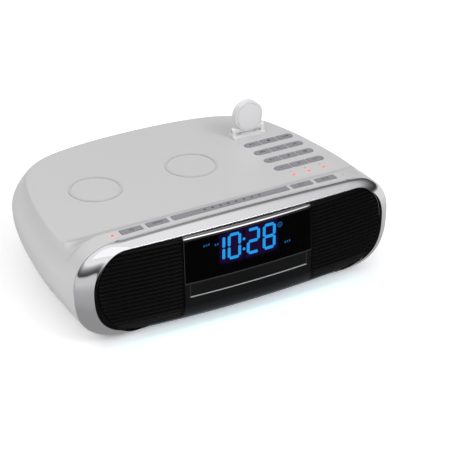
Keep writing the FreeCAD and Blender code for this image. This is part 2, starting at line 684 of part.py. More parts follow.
for label, sign, wide, out, top in ROW_KEYS:
    key(label, wide, "row_key_deep", "%g" % (sign * out), "row_key_y", "%g" % top, 0.5)
GRID_KEYS = []
for row in range(4):
    for column in range(3):
        label = "grid_key_%d_%d" % (row + 1, column + 1)
        GRID_KEYS.append(label)
        key(label, "grid_key_wide", "grid_key_deep", "grid_x + %d * grid_step_x" % (column - 1),
            "grid_first_y + %d * grid_pitch_y" % (3 - row), "deck_level", 0.5, ends=column - 1)

pipes = []
for item, (across, deep, top, radius) in enumerate(LIGHTS):
    pipe = tool("Cylinder", "light_pipe_%d" % item, Radius="%g" % radius, Height="5.5")
    pipes.append(place(pipe, "%g" % across, "%g" % deep, "%g" % (top - 5.2)))
group("indicator_lights", pipes)

SWITCH_TOP_ROW = 96.9
SWITCH_TOP_GRID = 82.4
switches = []
spots = [(sign * out, 36.0, SWITCH_TOP_ROW) for label, sign, wide, out, top in ROW_KEYS]
spots += [(117.4 + 19.6 * step, 102.4 + 20.2 * row, SWITCH_TOP_GRID) for row in range(4) for step in (-1, 0, 1)]
for item, (across, deep, top) in enumerate(spots):
    base = tool("Box", "switch_base_%d" % item, Length="6", Width="6", Height="3.2")
    place(base, "%g - 3" % across, "%g - 3" % deep, "%g" % (top - 4.0))
    plunger = tool("Cylinder", "switch_plunger_%d" % item, Radius="1.6", Height="0.8")
    place(plunger, "%g" % across, "%g" % deep, "%g" % (top - 0.8))
    switches.append(joined("switch_%d" % item, [base, plunger], node=False))
group("tact_switches", switches)
row_board = block("row_key_board", "246", "12", "board_thick",
                  ("0", "row_key_y", "%g - board_thick" % (SWITCH_TOP_ROW - 4.0)), node=False)
grid_board = block("grid_key_board", "64", "78", "board_thick",
                   ("grid_x", "grid_first_y + 1.5 * grid_pitch_y", "%g - board_thick" % (SWITCH_TOP_GRID - 4.0)),
                   node=False)
group("key_boards", [row_board, grid_board])

# ---------------------------------------------------------------- charging pads
rings, coils, shields = [], [], []
for word, across in (("left", "pad_left_x"), ("right", "pad_right_x")):
    ring_pad = barrel("pad_ring_" + word, "27", "0.8", (across, "pad_y", "deck_level"), node=False, bore="24.5")
    rings.append(ring_pad)
    coils.append(barrel("coil_" + word, "coil_outer", "coil_thick",
                        (across, "pad_y", "deck_level - shell_wall - coil_thick"), node=False, bore="coil_inner"))
    shields.append(block("shield_" + word, "50", "50", "1.6",
                         (across, "pad_y", "deck_level - shell_wall - coil_thick - 1.6"), node=False))
group("charge_rings", rings)
group("charge_coils", coils)
group("coil_shields", shields)

# ---------------------------------------------------------------- watch charger
watch = body("watch_base")
pad(watch, rectangle(sketch(watch, "XY_Plane"), "38", "13"), "2.2")
for sign in (-1, 1):
    lug = sketch(watch, "YZ_Plane", lift="%g" % (sign * 17 - 2), up="hinge_z - deck_level")
    pad(watch, circle(lug, "3.4"), "4")
    post = sketch(watch, "XY_Plane", lift="1.8", across="%g" % (sign * 17))
    pad(watch, rectangle(post, "4", "6.8"), "hinge_z - deck_level - 1.8")
pocket(watch, circle(sketch(watch, "YZ_Plane", up="hinge_z - deck_level"), "pin_radius + 0.05"))
for sign in (-1, 1):
    pocket(watch, circle(sketch(watch, "XY_Plane", lift="6", across="%g" % (sign * 9)), "screw_radius + 0.1"))
place(watch, "puck_x", "hinge_y", "deck_level")

holder = body("watch_holder")
pad(holder, circle(sketch(holder, "XZ_Plane", lift="- puck_thick / 2", up="puck_z - hinge_z"), "puck_radius"),
    "puck_thick")
pad(holder, rectangle(sketch(holder, "XZ_Plane", lift="- puck_thick / 2 + 1", up="4.5"), "16", "9"),
    "puck_thick - 2")
pad(holder, circle(sketch(holder, "YZ_Plane", lift="-14.8"), "3.2"), "29.6")
pocket(holder, circle(sketch(holder, "YZ_Plane"), "pin_radius + 0.05"))
pocket(holder, circle(sketch(holder, "XZ_Plane", lift="puck_thick / 2", up="puck_z - hinge_z"), "14.2"), "1.2")
place(holder, "puck_x", "hinge_y", "hinge_z")
barrel("watch_puck", "14", "1.8", ("puck_x", "hinge_y - puck_thick / 2 + 1.2", "puck_z"), role="XZ_Plane")
barrel("hinge_pin", "pin_radius", "37.6", ("puck_x - 18.8", "hinge_y", "hinge_z"), role="YZ_Plane")

# ---------------------------------------------------------------- display and boards
block("display_module", "116", "7", "39", ("0", "8.6", "57"))
block("display_board", "128", "board_thick", "44", ("0", "12.1 + board_thick / 2", "55"))
chips = [block("board_plate", "140", "60", "board_thick", ("0", "198", "12"), node=False)]
for item, (across, deep, wide, length, high) in enumerate(((-40, 190, 14, 14, 2.2), (5, 205, 20, 10, 2.0),
                                                           (38, 186, 24, 12, 14), (-20, 215, 10, 10, 12),
                                                           (56, 212, 12, 12, 9))):
    chip = tool("Box", "chip_%d" % item, Length="%g" % wide, Width="%g" % length, Height="%g" % high)
    chips.append(place(chip, "%g" % (across - wide / 2), "%g" % (deep - length / 2), "12 + board_thick"))
joined("main_board", chips)

# ---------------------------------------------------------------- drawer mechanism
chassis = body("cd_chassis")
base_plate = sketch(chassis, "XY_Plane", lift="24", up="10 + deck_long / 2")
pad(chassis, rectangle(base_plate, "deck_wide", "deck_long"), "2.5")
for sign in (-1, 1):
    wall = sketch(chassis, "XY_Plane", lift="26.5", across="%g * (tray_wide / 2 + 2.4)" % sign,
                  up="10 + deck_long / 2")
    pad(chassis, rectangle(wall, "4", "deck_long"), "rail_height")
    for deep in (20, 150):
        leg = sketch(chassis, "XY_Plane", lift="pod_floor", across="%g" % (sign * 56), up="%g" % (deep + 4))
        pad(chassis, circle(leg, "4.5"), "24 - pod_floor")
for deep in (88, 154):
    for sign in (-1, 1):
        lug = sketch(chassis, "XY_Plane", lift="26.5", across="%g * rod_spread" % sign, up="%g" % deep)
        pad(chassis, rectangle(lug, "8", "4"), "9")
for sign in (-1, 1):
    hole = sketch(chassis, "XZ_Plane", across="%g * rod_spread" % sign, up="32")
    pocket(chassis, circle(hole, "rod_radius"))

rods = []
for sign in (-1, 1):
    rod = tool("Cylinder", "rod_%d" % sign, Radius="rod_radius", Height="70")
    rod.Placement = FreeCAD.Placement(V(0, 0, 0), TURN(V(1, 0, 0), -90))
    rods.append(place(rod, "%g * rod_spread" % sign, "86", "32"))
group("guide_rods", rods)
sled = body("optical_sled")
pad(sled, rectangle(sketch(sled, "XY_Plane", lift="-3.6"), "2 * rod_spread + 12", "20"), "7")
for sign in (-1, 1):
    hole = sketch(sled, "XZ_Plane", lift="20", across="%g * rod_spread" % sign)
    pocket(sled, circle(hole, "rod_radius + rod_gap"), "40")
pad(sled, circle(sketch(sled, "XY_Plane", lift="3.2"), "4"), "1.6")
place(sled, "0", "101", "32")

spinner = barrel("spindle_motor", "12", "9.6", ("0", "disc_y", "26.5"))
pad(spinner, circle(sketch(spinner, "XY_Plane", lift="9"), "spindle_bore - 0.05"), "5")
table = barrel("disc_turntable", "table_radius", "2.2", ("0", "disc_y", "36.5"))
pad(table, circle(sketch(table, "XY_Plane", lift="2"), "7.3"), "2.9")
pocket(table, circle(sketch(table, "XY_Plane"), "spindle_bore"))

tray = body("cd_tray")
pad(tray, rectangle(sketch(tray, "XY_Plane", up="tray_long / 2"), "tray_wide", "tray_long"), "tray_thick")
pocket(tray, circle(sketch(tray, "XY_Plane", lift="tray_thick", up="disc_y - 2.4"), "disc_well"), "2.2")
hole = sketch(tray, "XY_Plane", lift="tray_thick", up="disc_y - 2.4")
pocket(tray, circle(hole, "18"), "20")
hole = sketch(tray, "XY_Plane", lift="tray_thick", up="disc_y - 2.4 + 26")
pocket(tray, rectangle(hole, "30", "52"), "20")
place(tray, "0", "2.4", "tray_floor")
teeth = []
PITCH = math.pi
rack = [(-3.4, 0.4), (-3.4, 135.6)]
for step in range(42, -1, -1):
    start = 0.746 + step * PITCH
    rack += [(-1.25, start + 2.45), (1.0, start + 1.95), (1.0, start + 1.2), (-1.25, start + 0.7)]
rack.append((-1.25, 0.4))
rack_side = sketch(tray, "XY_Plane", lift="-4.0", across="-56")
outline(rack_side, rack)
pad(tray, rack_side, "4.0")

gear = body("tray_gear")
spokes = []
for step in range(16):
    for radius, shift in ((6.7, -7.6), (9.0, -2.2), (9.0, 2.2), (6.7, 7.6)):
        angle = math.radians(step * 22.5 + shift + GEAR_PHASE)
        spokes.append((radius * math.cos(angle), radius * math.sin(angle)))
outline(sketch(gear, "XY_Plane"), spokes)
pad(gear, gear.Group[-1], "3.5")
pocket(gear, circle(sketch(gear, "XY_Plane"), "rod_radius + rod_gap"))
place(gear, "-56 + 8", "22", "38.1")
motor = barrel("tray_motor", "8.5", "11", ("-56 + 8", "22", "26.5"))
pad(motor, circle(sketch(motor, "XY_Plane", lift="10"), "rod_radius"), "4.9")

bridge = body("clamp_bridge")
pad(bridge, rectangle(sketch(bridge, "XY_Plane"), "tray_wide + 8.8", "36"), "2")
pocket(bridge, circle(sketch(bridge, "XY_Plane"), "9"))
place(bridge, "0", "disc_y", "26.5 + rail_height")
clamper = body("disc_clamper")
outline(sketch(clamper, "XZ_Plane"), [(0, -4.2), (13, -4.2), (13, -0.3), (8.8, -0.3), (8.8, 2.3), (11, 2.3),
                                      (11, 3.6), (0, 3.6)])
spun = clamper.newObject("PartDesign::Revolution", "clamper_turn")
spun.Profile = clamper.Group[0]
spun.ReferenceAxis = (clamper.Group[0], ["V_Axis"])
spun.Angle = 360
place(clamper, "0", "disc_y", "26.5 + rail_height")

# ---------------------------------------------------------------- rear bay and sockets
bay = body("bay_block", node=False)
pad(bay, rectangle(sketch(bay, "XZ_Plane", lift="-244", up="32"), "100", "26"), "40", back=True)
pocket(bay, rectangle(sketch(bay, "XZ_Plane", lift="-246.5", up="32"), "96", "22"), "60", back=False)
for across, radius in ((-30, 4.1), (0, 3.6)):
    hole = sketch(bay, "XZ_Plane", lift="-240", across="%g" % across, up="32")
    pocket(bay, circle(hole, "%g" % radius), "10", back=False)
trim = body("bay_trim", node=False)
pod(trim, "AdditiveLoft", LEVELS, 0.35, lambda level: 0.0)
common("rear_bay", bay, trim)
sockets = (("power_socket", -30, 4.0, 2.75, 11), ("audio_socket", 0, 3.5, 1.75, 9))
for label, across, nose, bore, wide in sockets:
    host = body(label)
    pad(host, rectangle(sketch(host, "XZ_Plane"), "%g" % wide, "%g" % wide), "12")
    pad(host, circle(sketch(host, "XZ_Plane", lift="-3.4"), "%g" % nose), "4")
    pocket(host, circle(sketch(host, "XZ_Plane", lift="-3.4"), "%g" % bore), "11", back=False)
    place(host, "%g" % across, "244", "32")

# ---------------------------------------------------------------- feet and fixings
feet = []
for across, deep in ((118, 45), (88, 205)):
    for sign in (-1, 1):
        foot = tool("Cylinder", "foot_%d_%d" % (sign, deep), Radius="foot_radius", Height="foot_height")
        feet.append(place(foot, "%g" % (sign * across), "%g" % deep, "0"))
group("rubber_feet", feet)
screws = []
for item, (across, deep) in enumerate(CASE_SCREWS):
    for sign in (-1, 1):
        shank = tool("Cylinder", "case_shank_%d_%d" % (item, sign), Radius="screw_radius", Height="screw_long")
        place(shank, "%g" % (sign * across), "%g" % deep, "foot_height - 0.5")
        head = tool("Cylinder", "case_head_%d_%d" % (item, sign), Radius="2.6", Height="1.6")
        place(head, "%g" % (sign * across), "%g" % deep, "foot_height - 1.6")
        screws.append(joined("case_screw_%d_%d" % (item, sign), [shank, head], node=False))
group("case_screws", screws)
for sign in (-1, 1):
    shank = tool("Cylinder", "watch_shank_%d" % sign, Radius="screw_radius", Height="6")
    place(shank, "puck_x + %g" % (sign * 9), "hinge_y", "deck_level - 4.6")
    head = tool("Cylinder", "watch_head_%d" % sign, Radius="2.4", Height="1.2")
    place(head, "puck_x + %g" % (sign * 9), "hinge_y", "deck_level - shell_wall - 1.2")
    fixings.append(joined("watch_screw_%d" % sign, [shank, head], node=False))
group("small_screws", fixings)

# ---------------------------------------------------------------- write the parts
# The written parts stand with the middle of their common box over the origin.
FRAME_MIDDLE = 134.21
doc.recompute()
faults = [obj.Label for obj in doc.Objects if "Invalid" in obj.State or "Error" in obj.State]
if faults:
    raise RuntimeError("objects not rebuilt: " + ", ".join(faults))
os.makedirs("parts", exist_ok=True)
for old in os.listdir("parts"):
    os.remove(os.path.join("parts", old))
for node in nodes:
    shape = node.Shape.copy()
    shape.translate(V(0, -FRAME_MIDDLE, 0))
    if shape.isNull() or not shape.isValid():
        raise RuntimeError("shape not valid: " + node.Label)
    shape.exportStep("parts/%s.step" % node.Label)
    box = shape.optimalBoundingBox(False)
    print("%-18s %9.1f mm3, %d solids" % (node.Label, shape.Volume, len(shape.Solids)), box)
print(len(nodes), "nodes")
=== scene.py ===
import math

import bmesh
import bpy
import numpy as np
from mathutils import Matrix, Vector


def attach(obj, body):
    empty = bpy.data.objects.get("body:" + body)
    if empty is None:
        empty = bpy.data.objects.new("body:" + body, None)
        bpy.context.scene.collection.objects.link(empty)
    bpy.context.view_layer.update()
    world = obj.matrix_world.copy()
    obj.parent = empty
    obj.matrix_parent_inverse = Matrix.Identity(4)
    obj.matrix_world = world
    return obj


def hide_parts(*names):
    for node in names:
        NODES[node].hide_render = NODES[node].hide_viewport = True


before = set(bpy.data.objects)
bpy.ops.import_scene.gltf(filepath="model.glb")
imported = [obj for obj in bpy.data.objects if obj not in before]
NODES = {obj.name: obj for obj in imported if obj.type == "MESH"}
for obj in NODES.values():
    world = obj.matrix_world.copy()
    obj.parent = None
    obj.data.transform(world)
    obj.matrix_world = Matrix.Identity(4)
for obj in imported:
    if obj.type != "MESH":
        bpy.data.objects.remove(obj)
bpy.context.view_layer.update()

# Lengths below are millimetres, measured from the middle of the front face at table height. The origin of the
# frame lies MIDDLE behind that point.
MM = 0.001
MIDDLE = 134.21


def spot(across, deep, high):
    """A point of the frame, in metres, from its place in millimetres."""
    return (across * MM, (deep - MIDDLE) * MM, high * MM)


# ---------------------------------------------------------------- small maths
def clamp(value, low=0.0, high=1.0):
    return max(low, min(high, value))


def ease(value):
    share = clamp(value)
    return share * share * (3 - 2 * share)


def soft_min(first, second, reach):
    """The smaller of two numbers, with a rounded change-over that is reach wide."""
    gap = max(reach - abs(first - second), 0.0) / max(reach, 1e-6)
    return min(first, second) - gap * gap * reach / 4


def soft_max(first, second, reach):
    return -soft_min(-first, -second, reach)


def spline(knots, values):
    """Natural cubic curve through values at knots; returns a function of one number."""
    knots = np.array(knots, float)
    values = np.array(values, float)
    count = len(knots)
    step = np.diff(knots)
    matrix = np.eye(count)
    right = np.zeros(count)
    for i in range(1, count - 1):
        matrix[i, i - 1:i + 2] = (step[i - 1], 2 * (step[i - 1] + step[i]), step[i])
        right[i] = 6 * ((values[i + 1] - values[i]) / step[i] - (values[i] - values[i - 1]) / step[i - 1])
    bend = np.linalg.solve(matrix, right)

    def at(place):
        i = int(clamp(np.searchsorted(knots, place) - 1, 0, count - 2))
        a, b, h = knots[i + 1] - place, place - knots[i], step[i]
        curve = (bend[i] * a ** 3 + bend[i + 1] * b ** 3) / (6 * h)
        return curve + (values[i] / h - bend[i] * h / 6) * a + (values[i + 1] / h - bend[i + 1] * h / 6) * b
    return at


def squircle(centre, out, rise, power, count):
    """Quarter of a superellipse from its side point to its top point: (across, up)."""
    points = []
    for step in range(count + 1):
        angle = math.pi / 2 * step / count
        points.append((centre + out * max(math.cos(angle), 0) ** (2 / power),
                       rise * max(math.sin(angle), 0) ** (2 / power)))
    return points


# ---------------------------------------------------------------- materials
def noise(tree, place, scale, detail):
    """Noise fixed to the piece: scale in waves per metre."""
    node = tree.nodes.new("ShaderNodeTexNoise")
    node.inputs["Scale"].default_value = scale
    node.inputs["Detail"].default_value = detail
    tree.links.new(place.outputs["Object"], node.inputs["Vector"])
    return node.outputs["Fac"]


def new_material(name, rough=0.5, colour=(0.5, 0.5, 0.5), metal=0.0, vary=0.03, vary_scale=40.0, bump=0.02,
                 bump_scale=900.0, coat=0.0, coat_rough=0.1, specular=0.5, rough_vary=0.08):
    """Painted or moulded surface: colour and roughness drift with noise, and a fine grain raises it."""
    made = bpy.data.materials.new(name)
    made.use_nodes = True
    tree = made.node_tree
    link = tree.links.new
    shader = tree.nodes["Principled BSDF"]
    place = tree.nodes.new("ShaderNodeTexCoord")
    drift = noise(tree, place, vary_scale, 4.0)
    tint = tree.nodes.new("ShaderNodeMix")
    tint.data_type = "RGBA"
    tint.inputs["A"].default_value = (*[c * (1 - vary) for c in colour], 1)
    tint.inputs["B"].default_value = (*[min(c * (1 + vary), 1) for c in colour], 1)
    link(drift, tint.inputs["Factor"])
    link(tint.outputs["Result"], shader.inputs["Base Color"])
    span = tree.nodes.new("ShaderNodeMapRange")
    span.inputs["To Min"].default_value = clamp(rough - rough_vary)
    span.inputs["To Max"].default_value = clamp(rough + rough_vary)
    link(drift, span.inputs["Value"])
    link(span.outputs["Result"], shader.inputs["Roughness"])
    raised = tree.nodes.new("ShaderNodeBump")
    raised.inputs["Strength"].default_value = bump
    raised.inputs["Distance"].default_value = 0.0002
    link(noise(tree, place, bump_scale, 3.0), raised.inputs["Height"])
    link(raised.outputs["Normal"], shader.inputs["Normal"])
    shader.inputs["Metallic"].default_value = metal
    shader.inputs["Specular IOR Level"].default_value = specular
    shader.inputs["Coat Weight"].default_value = coat
    shader.inputs["Coat Roughness"].default_value = coat_rough
    return made


def glowing(name, colour, power):
    """A light seen through dark or frosted plastic: nearly black by itself."""
    made = new_material(name, 0.3, [0.01 * part for part in colour], vary=0.02, bump=0.0, specular=0.1)
    shader = made.node_tree.nodes["Principled BSDF"]
    shader.inputs["Emission Color"].default_value = (*colour, 1)
    shader.inputs["Emission Strength"].default_value = power
    return made


def math_node(tree, kind, first, second):
    """Output of a Math node; each input is a number or another node's output."""
    node = tree.nodes.new("ShaderNodeMath")
    node.operation = kind
    for socket, value in zip(node.inputs, (first, second)):
        if isinstance(value, (int, float)):
            socket.default_value = value
        else:
            tree.links.new(value, socket)
    return node.outputs[0]


def between(tree, source, low, high, soft):
    """1 between low and high, falling smoothly to 0 over the soft distance outside."""
    sides = []
    for edge, way in ((low, -1), (high, 1)):
        span = tree.nodes.new("ShaderNodeMapRange")
        span.interpolation_type = "SMOOTHSTEP"
        span.inputs["From Min"].default_value = edge + way * soft
        span.inputs["From Max"].default_value = edge
        tree.links.new(source, span.inputs["Value"])
        sides.append(span.outputs["Result"])
    return math_node(tree, "MULTIPLY", sides[0], sides[1])


def add_glow(material, boxes, soft, colour, power):
    """Soft glow round boxes (left, right, low, high) in metres on the front."""
    tree = material.node_tree
    shader = tree.nodes["Principled BSDF"]
    place = next(node for node in tree.nodes if node.type == "TEX_COORD")
    split = tree.nodes.new("ShaderNodeSeparateXYZ")
    tree.links.new(place.outputs["Object"], split.inputs["Vector"])
    total = 0.0
    for left_x, right_x, low, high in boxes:
        across = between(tree, split.outputs["X"], left_x, right_x, soft)
        up = between(tree, split.outputs["Z"], low, high, soft)
        total = math_node(tree, "MAXIMUM", total, math_node(tree, "MULTIPLY", across, up))
    shader.inputs["Emission Color"].default_value = (*colour, 1)
    tree.links.new(math_node(tree, "MULTIPLY", total, power), shader.inputs["Emission Strength"])


WHITE = new_material("white_gloss", 0.32, (0.60, 0.594, 0.600), vary=0.012, vary_scale=25, bump=0.04,
                     bump_scale=700, coat=0.25, coat_rough=0.15, rough_vary=0.05)
SILVER = new_material("satin_silver", 0.10, (0.80, 0.80, 0.82), metal=1.0, vary=0.015, vary_scale=60,
                      bump=0.008, bump_scale=1600, rough_vary=0.02)
BLACK = new_material("black_satin", 0.40, (0.006, 0.006, 0.007), vary=0.1, bump=0.10, bump_scale=2400,
                     specular=0.2)
GRILLE = new_material("grille_black", 0.30, (0.0012, 0.0012, 0.0014), vary=0.12, bump=0.05, bump_scale=2600,
                      specular=0.12, rough_vary=0.04)
LENS = new_material("dark_lens", 0.06, (0.0003, 0.0003, 0.0004), vary=0.05, bump=0.0, specular=0.9, coat=1.0,
                    coat_rough=0.06, rough_vary=0.01)
LENS.node_tree.nodes["Principled BSDF"].inputs["Coat IOR"].default_value = 2.0
# Soft violet light round the four digits, as (left, right, low, high).
DIGIT_GLOW = [(-0.0305, -0.0270, 0.067, 0.092), (-0.0245, -0.0095, 0.066, 0.094),
              (-0.0040, 0.0115, 0.066, 0.094), (0.0135, 0.0285, 0.066, 0.094)]
add_glow(LENS, DIGIT_GLOW, 0.0045, (0.30, 0.08, 1.0), 0.035)
CHARCOAL = new_material("charcoal_satin", 0.40, (0.0045, 0.0045, 0.0050), vary=0.08, bump=0.08,
                        bump_scale=2600, specular=0.25)
# Painted highlight on the lower lip of the door's slot, and a fainter painted highlight beside and above the
# slot.
SLOT_LIP_HIGHLIGHT = new_material("painted_lip_highlight", 0.35, (0.42, 0.42, 0.43), vary=0.05)
SLOT_EDGE_SHEEN = new_material("painted_edge_sheen", 0.40, (0.035, 0.035, 0.038), vary=0.05)
KEY = new_material("key_grey", 0.42, (0.255, 0.255, 0.28), vary=0.03, bump=0.10, bump_scale=2200)
ICON = new_material("printed_dark", 0.55, (0.035, 0.035, 0.045), vary=0.1, bump=0.05)
PRINT = new_material("printed_grey", 0.55, (0.16, 0.16, 0.18), vary=0.08, bump=0.03)
RUBBER = new_material("black_rubber", 0.75, (0.02, 0.02, 0.021), vary=0.15, bump=0.3, bump_scale=1500)
SOFT_WHITE = new_material("soft_white", 0.45, (0.80, 0.80, 0.81), vary=0.01, bump=0.05)
PUCK = new_material("puck_white", 0.22, (0.84, 0.84, 0.85), vary=0.01, bump=0.01, coat=0.4)
RING_RUBBER = new_material("pad_rubber", 0.7, (0.53, 0.53, 0.54), vary=0.04, bump=0.25, bump_scale=1500)
STEEL = new_material("plain_steel", 0.3, (0.55, 0.55, 0.57), metal=1.0, vary=0.05, bump=0.05)
BOARD = new_material("circuit_board", 0.45, (0.02, 0.12, 0.06), vary=0.25, vary_scale=300, bump=0.15,
                     bump_scale=600)
COPPER = new_material("copper_wire", 0.35, (0.72, 0.33, 0.16), metal=1.0, vary=0.15, vary_scale=500, bump=0.3)
FERRITE = new_material("ferrite", 0.7, (0.06, 0.055, 0.055), vary=0.2, bump=0.3)
PAPER = new_material("cone_paper", 0.85, (0.03, 0.03, 0.03), vary=0.25, vary_scale=200, bump=0.5,
                     bump_scale=700)
NYLON = new_material("white_nylon", 0.5, (0.72, 0.71, 0.66), vary=0.03, bump=0.08)
REFLECTOR = new_material("display_block", 0.5, (0.10, 0.12, 0.16), vary=0.08, bump=0.08)
BLUE = glowing("blue_segment", (0.016, 0.33, 0.84), 1.0)
BLUE_DIM = glowing("blue_sign", (0.015, 0.12, 0.36), 0.75)
# Unlit segments with a faint painted violet glow: it stands for the halo of light round the lit digits, not
# for a lamp.
GHOST_PAINTED_GLOW = glowing("unlit_segment", (0.035, 0.010, 0.075), 0.35)
RED = glowing("red_light", (1.0, 0.16, 0.10), 1.3)
GLOW = glowing("light_bar", (0.50, 0.60, 0.90), 0.16)

CAD_MATERIALS = [
    (BLACK, ["bottom_cover", "front_baffle", "glow_led_strip", "tact_switches", "cd_chassis", "optical_sled",
             "disc_turntable", "disc_clamper", "rear_bay", "power_socket", "audio_socket"]),
    (STEEL, ["speaker_frames", "hinge_pin", "guide_rods", "spindle_motor", "tray_motor", "clamp_bridge",
             "case_screws", "small_screws"]),
    (BOARD, ["key_boards", "display_board", "main_board"]),
    (FERRITE, ["speaker_magnets", "coil_shields"]),
    (SOFT_WHITE, ["watch_base", "watch_holder"]),
    (PAPER, ["speaker_cones"]), (COPPER, ["charge_coils"]), (REFLECTOR, ["display_module"]),
    (CHARCOAL, ["cd_tray"]), (NYLON, ["tray_gear"]), (RUBBER, ["rubber_feet"]), (PUCK, ["watch_puck"]),
    (RING_RUBBER, ["charge_rings"]), (RED, ["indicator_lights"]), (GLOW, ["glow_light_bar"]),
]


def paint(item, material):
    item.data.materials.clear()
    item.data.materials.append(material)


for material, nodes in CAD_MATERIALS:
    for node in nodes:
        paint(NODES[node], material)


# ---------------------------------------------------------------- building meshes
def finish_mesh(item, sharp=32.0, weighted=False):
    """Smooth shading with edges kept sharp beyond an angle in degrees."""
    mesh = item.data
    mesh.polygons.foreach_set("use_smooth", [True] * len(mesh.polygons))
    mesh.set_sharp_from_angle(angle=math.radians(sharp))
    if weighted:
        even = item.modifiers.new("even_normals", "WEIGHTED_NORMAL")
        even.keep_sharp = True
        even.weight = 50
    mesh.update()


def piece(name, points, faces, materials, body, stands_for=(), sharp=32.0, weighted=False, indices=None):
    """One visible piece from points in millimetres."""
    mesh = bpy.data.meshes.new(name)
    mesh.from_pydata([spot(*point) for point in points], [], faces)
    for material in materials if isinstance(materials, (list, tuple)) else [materials]:
        mesh.materials.append(material)
    if indices is not None:
        mesh.polygons.foreach_set("material_index", indices)
    item = bpy.data.objects.new(name, mesh)
    bpy.context.scene.collection.objects.link(item)
    work = bmesh.new()
    work.from_mesh(mesh)
    bmesh.ops.remove_doubles(work, verts=work.verts, dist=2e-6)
    bmesh.ops.dissolve_degenerate(work, edges=work.edges, dist=1e-6)
    bmesh.ops.recalc_face_normals(work, faces=work.faces)
    work.to_mesh(mesh)
    work.free()
    finish_mesh(item, sharp, weighted)
    if body:
        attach(item, body)
    if stands_for:
        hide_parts(*stands_for)
    return item


class Shape:
    """Collects points and faces, each face with a material number."""

    def __init__(self):
        self.points, self.faces, self.marks = [], [], []

    def face(self, corners, mark=0):
        self.faces.append(corners)
        self.marks.append(mark)

    def grid(self, rows, mark=0, wrap=False):
        """Quads between rows of points of equal length; wrap closes each row on itself."""
        base, wide = len(self.points), len(rows[0])
        for row in rows:
            self.points.extend(row)
        for i in range(len(rows) - 1):
            for j in range(wide if wrap else wide - 1):
                a, b = base + i * wide + j, base + i * wide + (j + 1) % wide
                self.face((a, b, b + wide, a + wide), mark)

    def cap(self, row, mark=0):
        base = len(self.points)
        self.points.extend(row)
        self.face(tuple(range(base, base + len(row))), mark)

    def upright(self, outline, across, deep, low, high, mark=0):
        """Prism that stands on an outline placed at (across, deep)."""
        self.prism([[(across + x, deep + y, level) for x, y in outline] for level in (low, high)], mark)

    def slab(self, front, back, mark=0):
        """Closed plate between two grids of the same size."""
        self.grid(front, mark)
        self.grid(back, mark)
        for end in (0, -1):
            self.grid([front[end], back[end]], mark)
            self.grid([[row[end] for row in front], [row[end] for row in back]], mark)

    def prism(self, rows, mark=0):
        """Closed solid through rows that each close on themselves, capped at either end."""
        self.grid(rows, mark, wrap=True)
        self.cap(rows[0], mark)
        self.cap(rows[-1], mark)

    def make(self, name, materials, body, stands_for=(), sharp=32.0, weighted=False):
        return piece(name, self.points, self.faces, materials, body, stands_for, sharp, weighted, self.marks)


def round_rect(wide, high, radius, count=6):
    """Closed outline centred on zero."""
    points = []
    for quarter in range(4):
        angle0 = quarter * math.pi / 2
        across = (wide / 2 - radius) * (1 if quarter in (0, 3) else -1)
        up = (high / 2 - radius) * (1 if quarter in (0, 1) else -1)
        for step in range(count + 1):
            angle = angle0 + math.pi / 2 * step / count
            points.append((across + radius * math.cos(angle), up + radius * math.sin(angle)))
    return points


def inset_outline(points, inset):
    """Moves a closed anticlockwise outline inwards along its normals."""
    moved, count = [], len(points)
    for i, (across, up) in enumerate(points):
        before, after = points[i - 1], points[(i + 1) % count]
        run = math.hypot(after[0] - before[0], after[1] - before[1]) or 1.0
        share = inset / run
        moved.append((across - share * (after[1] - before[1]), up + share * (after[0] - before[0])))
    return moved


def button(shape, points, low, top, edge, place):
    """A cap with a rounded top edge: points is its outline, place maps (across, deep, high) to a point."""
    rows = [[place(x, y, low) for x, y in points]]
    for step in range(5):
        angle = math.pi / 2 * step / 4
        ring = inset_outline(points, edge * (1 - math.cos(angle)))
        rows.append([place(x, y, top - edge + edge * math.sin(angle)) for x, y in ring])
    shape.prism(rows)


# ---------------------------------------------------------------- the pod
DECK, BROW, SEAM, FOOT, MID = 89.0, 104.5, 26.0, 7.0, 60.0
RAMP_START, RAMP_SLOPE = 43.0, 0.6115
SIDE, WALL, CROWN, CROWN_POWER = 161.9, 2.6, 1.5, 2.05
# The hoop at the seam has an upper and a lower superellipse quarter: centre, reach outwards, rise and power.
UP_CENTRE, UP_OUT, UP_RISE, UP_POWER = 122.0, 50.5, 43.0, 2.25
LOW_CENTRE, LOW_OUT, LOW_RISE, LOW_POWER = 118.0, 54.5, 55.0, 2.8
# Half of the deck's outline, from the seam round to the middle of the back.
DECK_SIDE = [(SIDE, SEAM), (SIDE, 48), (161.6, 69), (160.8, 98), (157.2, 131), (151.2, 166), (144.6, 191),
             (137.5, 210), (126.5, 225.5), (107, 240), (78, 249), (40, 253.9), (0, 255.2)]


def hoop_width(level):
    """Half width of the hoop at a height."""
    if level >= MID:
        centre, out, rise, power = UP_CENTRE, UP_OUT, UP_RISE, UP_POWER
    else:
        centre, out, rise, power = LOW_CENTRE, LOW_OUT, LOW_RISE, LOW_POWER
    share = min(abs(level - MID) / rise, 1.0)
    return centre + out * (1 - share ** power) ** (1 / power)


def hoop_height(across):
    """Height of the hoop's upper outline."""
    across = abs(across)
    if across <= UP_CENTRE:
        return BROW - CROWN * (across / UP_CENTRE) ** CROWN_POWER
    share = min((across - UP_CENTRE) / UP_OUT, 1.0)
    return MID + UP_RISE * (1 - share ** UP_POWER) ** (1 / UP_POWER)


def roof(deep):
    """Height of the brow, its ramp and the deck behind it."""
    crest = BROW + 0.4
    slope = soft_min(crest, crest - RAMP_SLOPE * (deep - RAMP_START), 3.0)
    return soft_max(slope, DECK, 1.6)


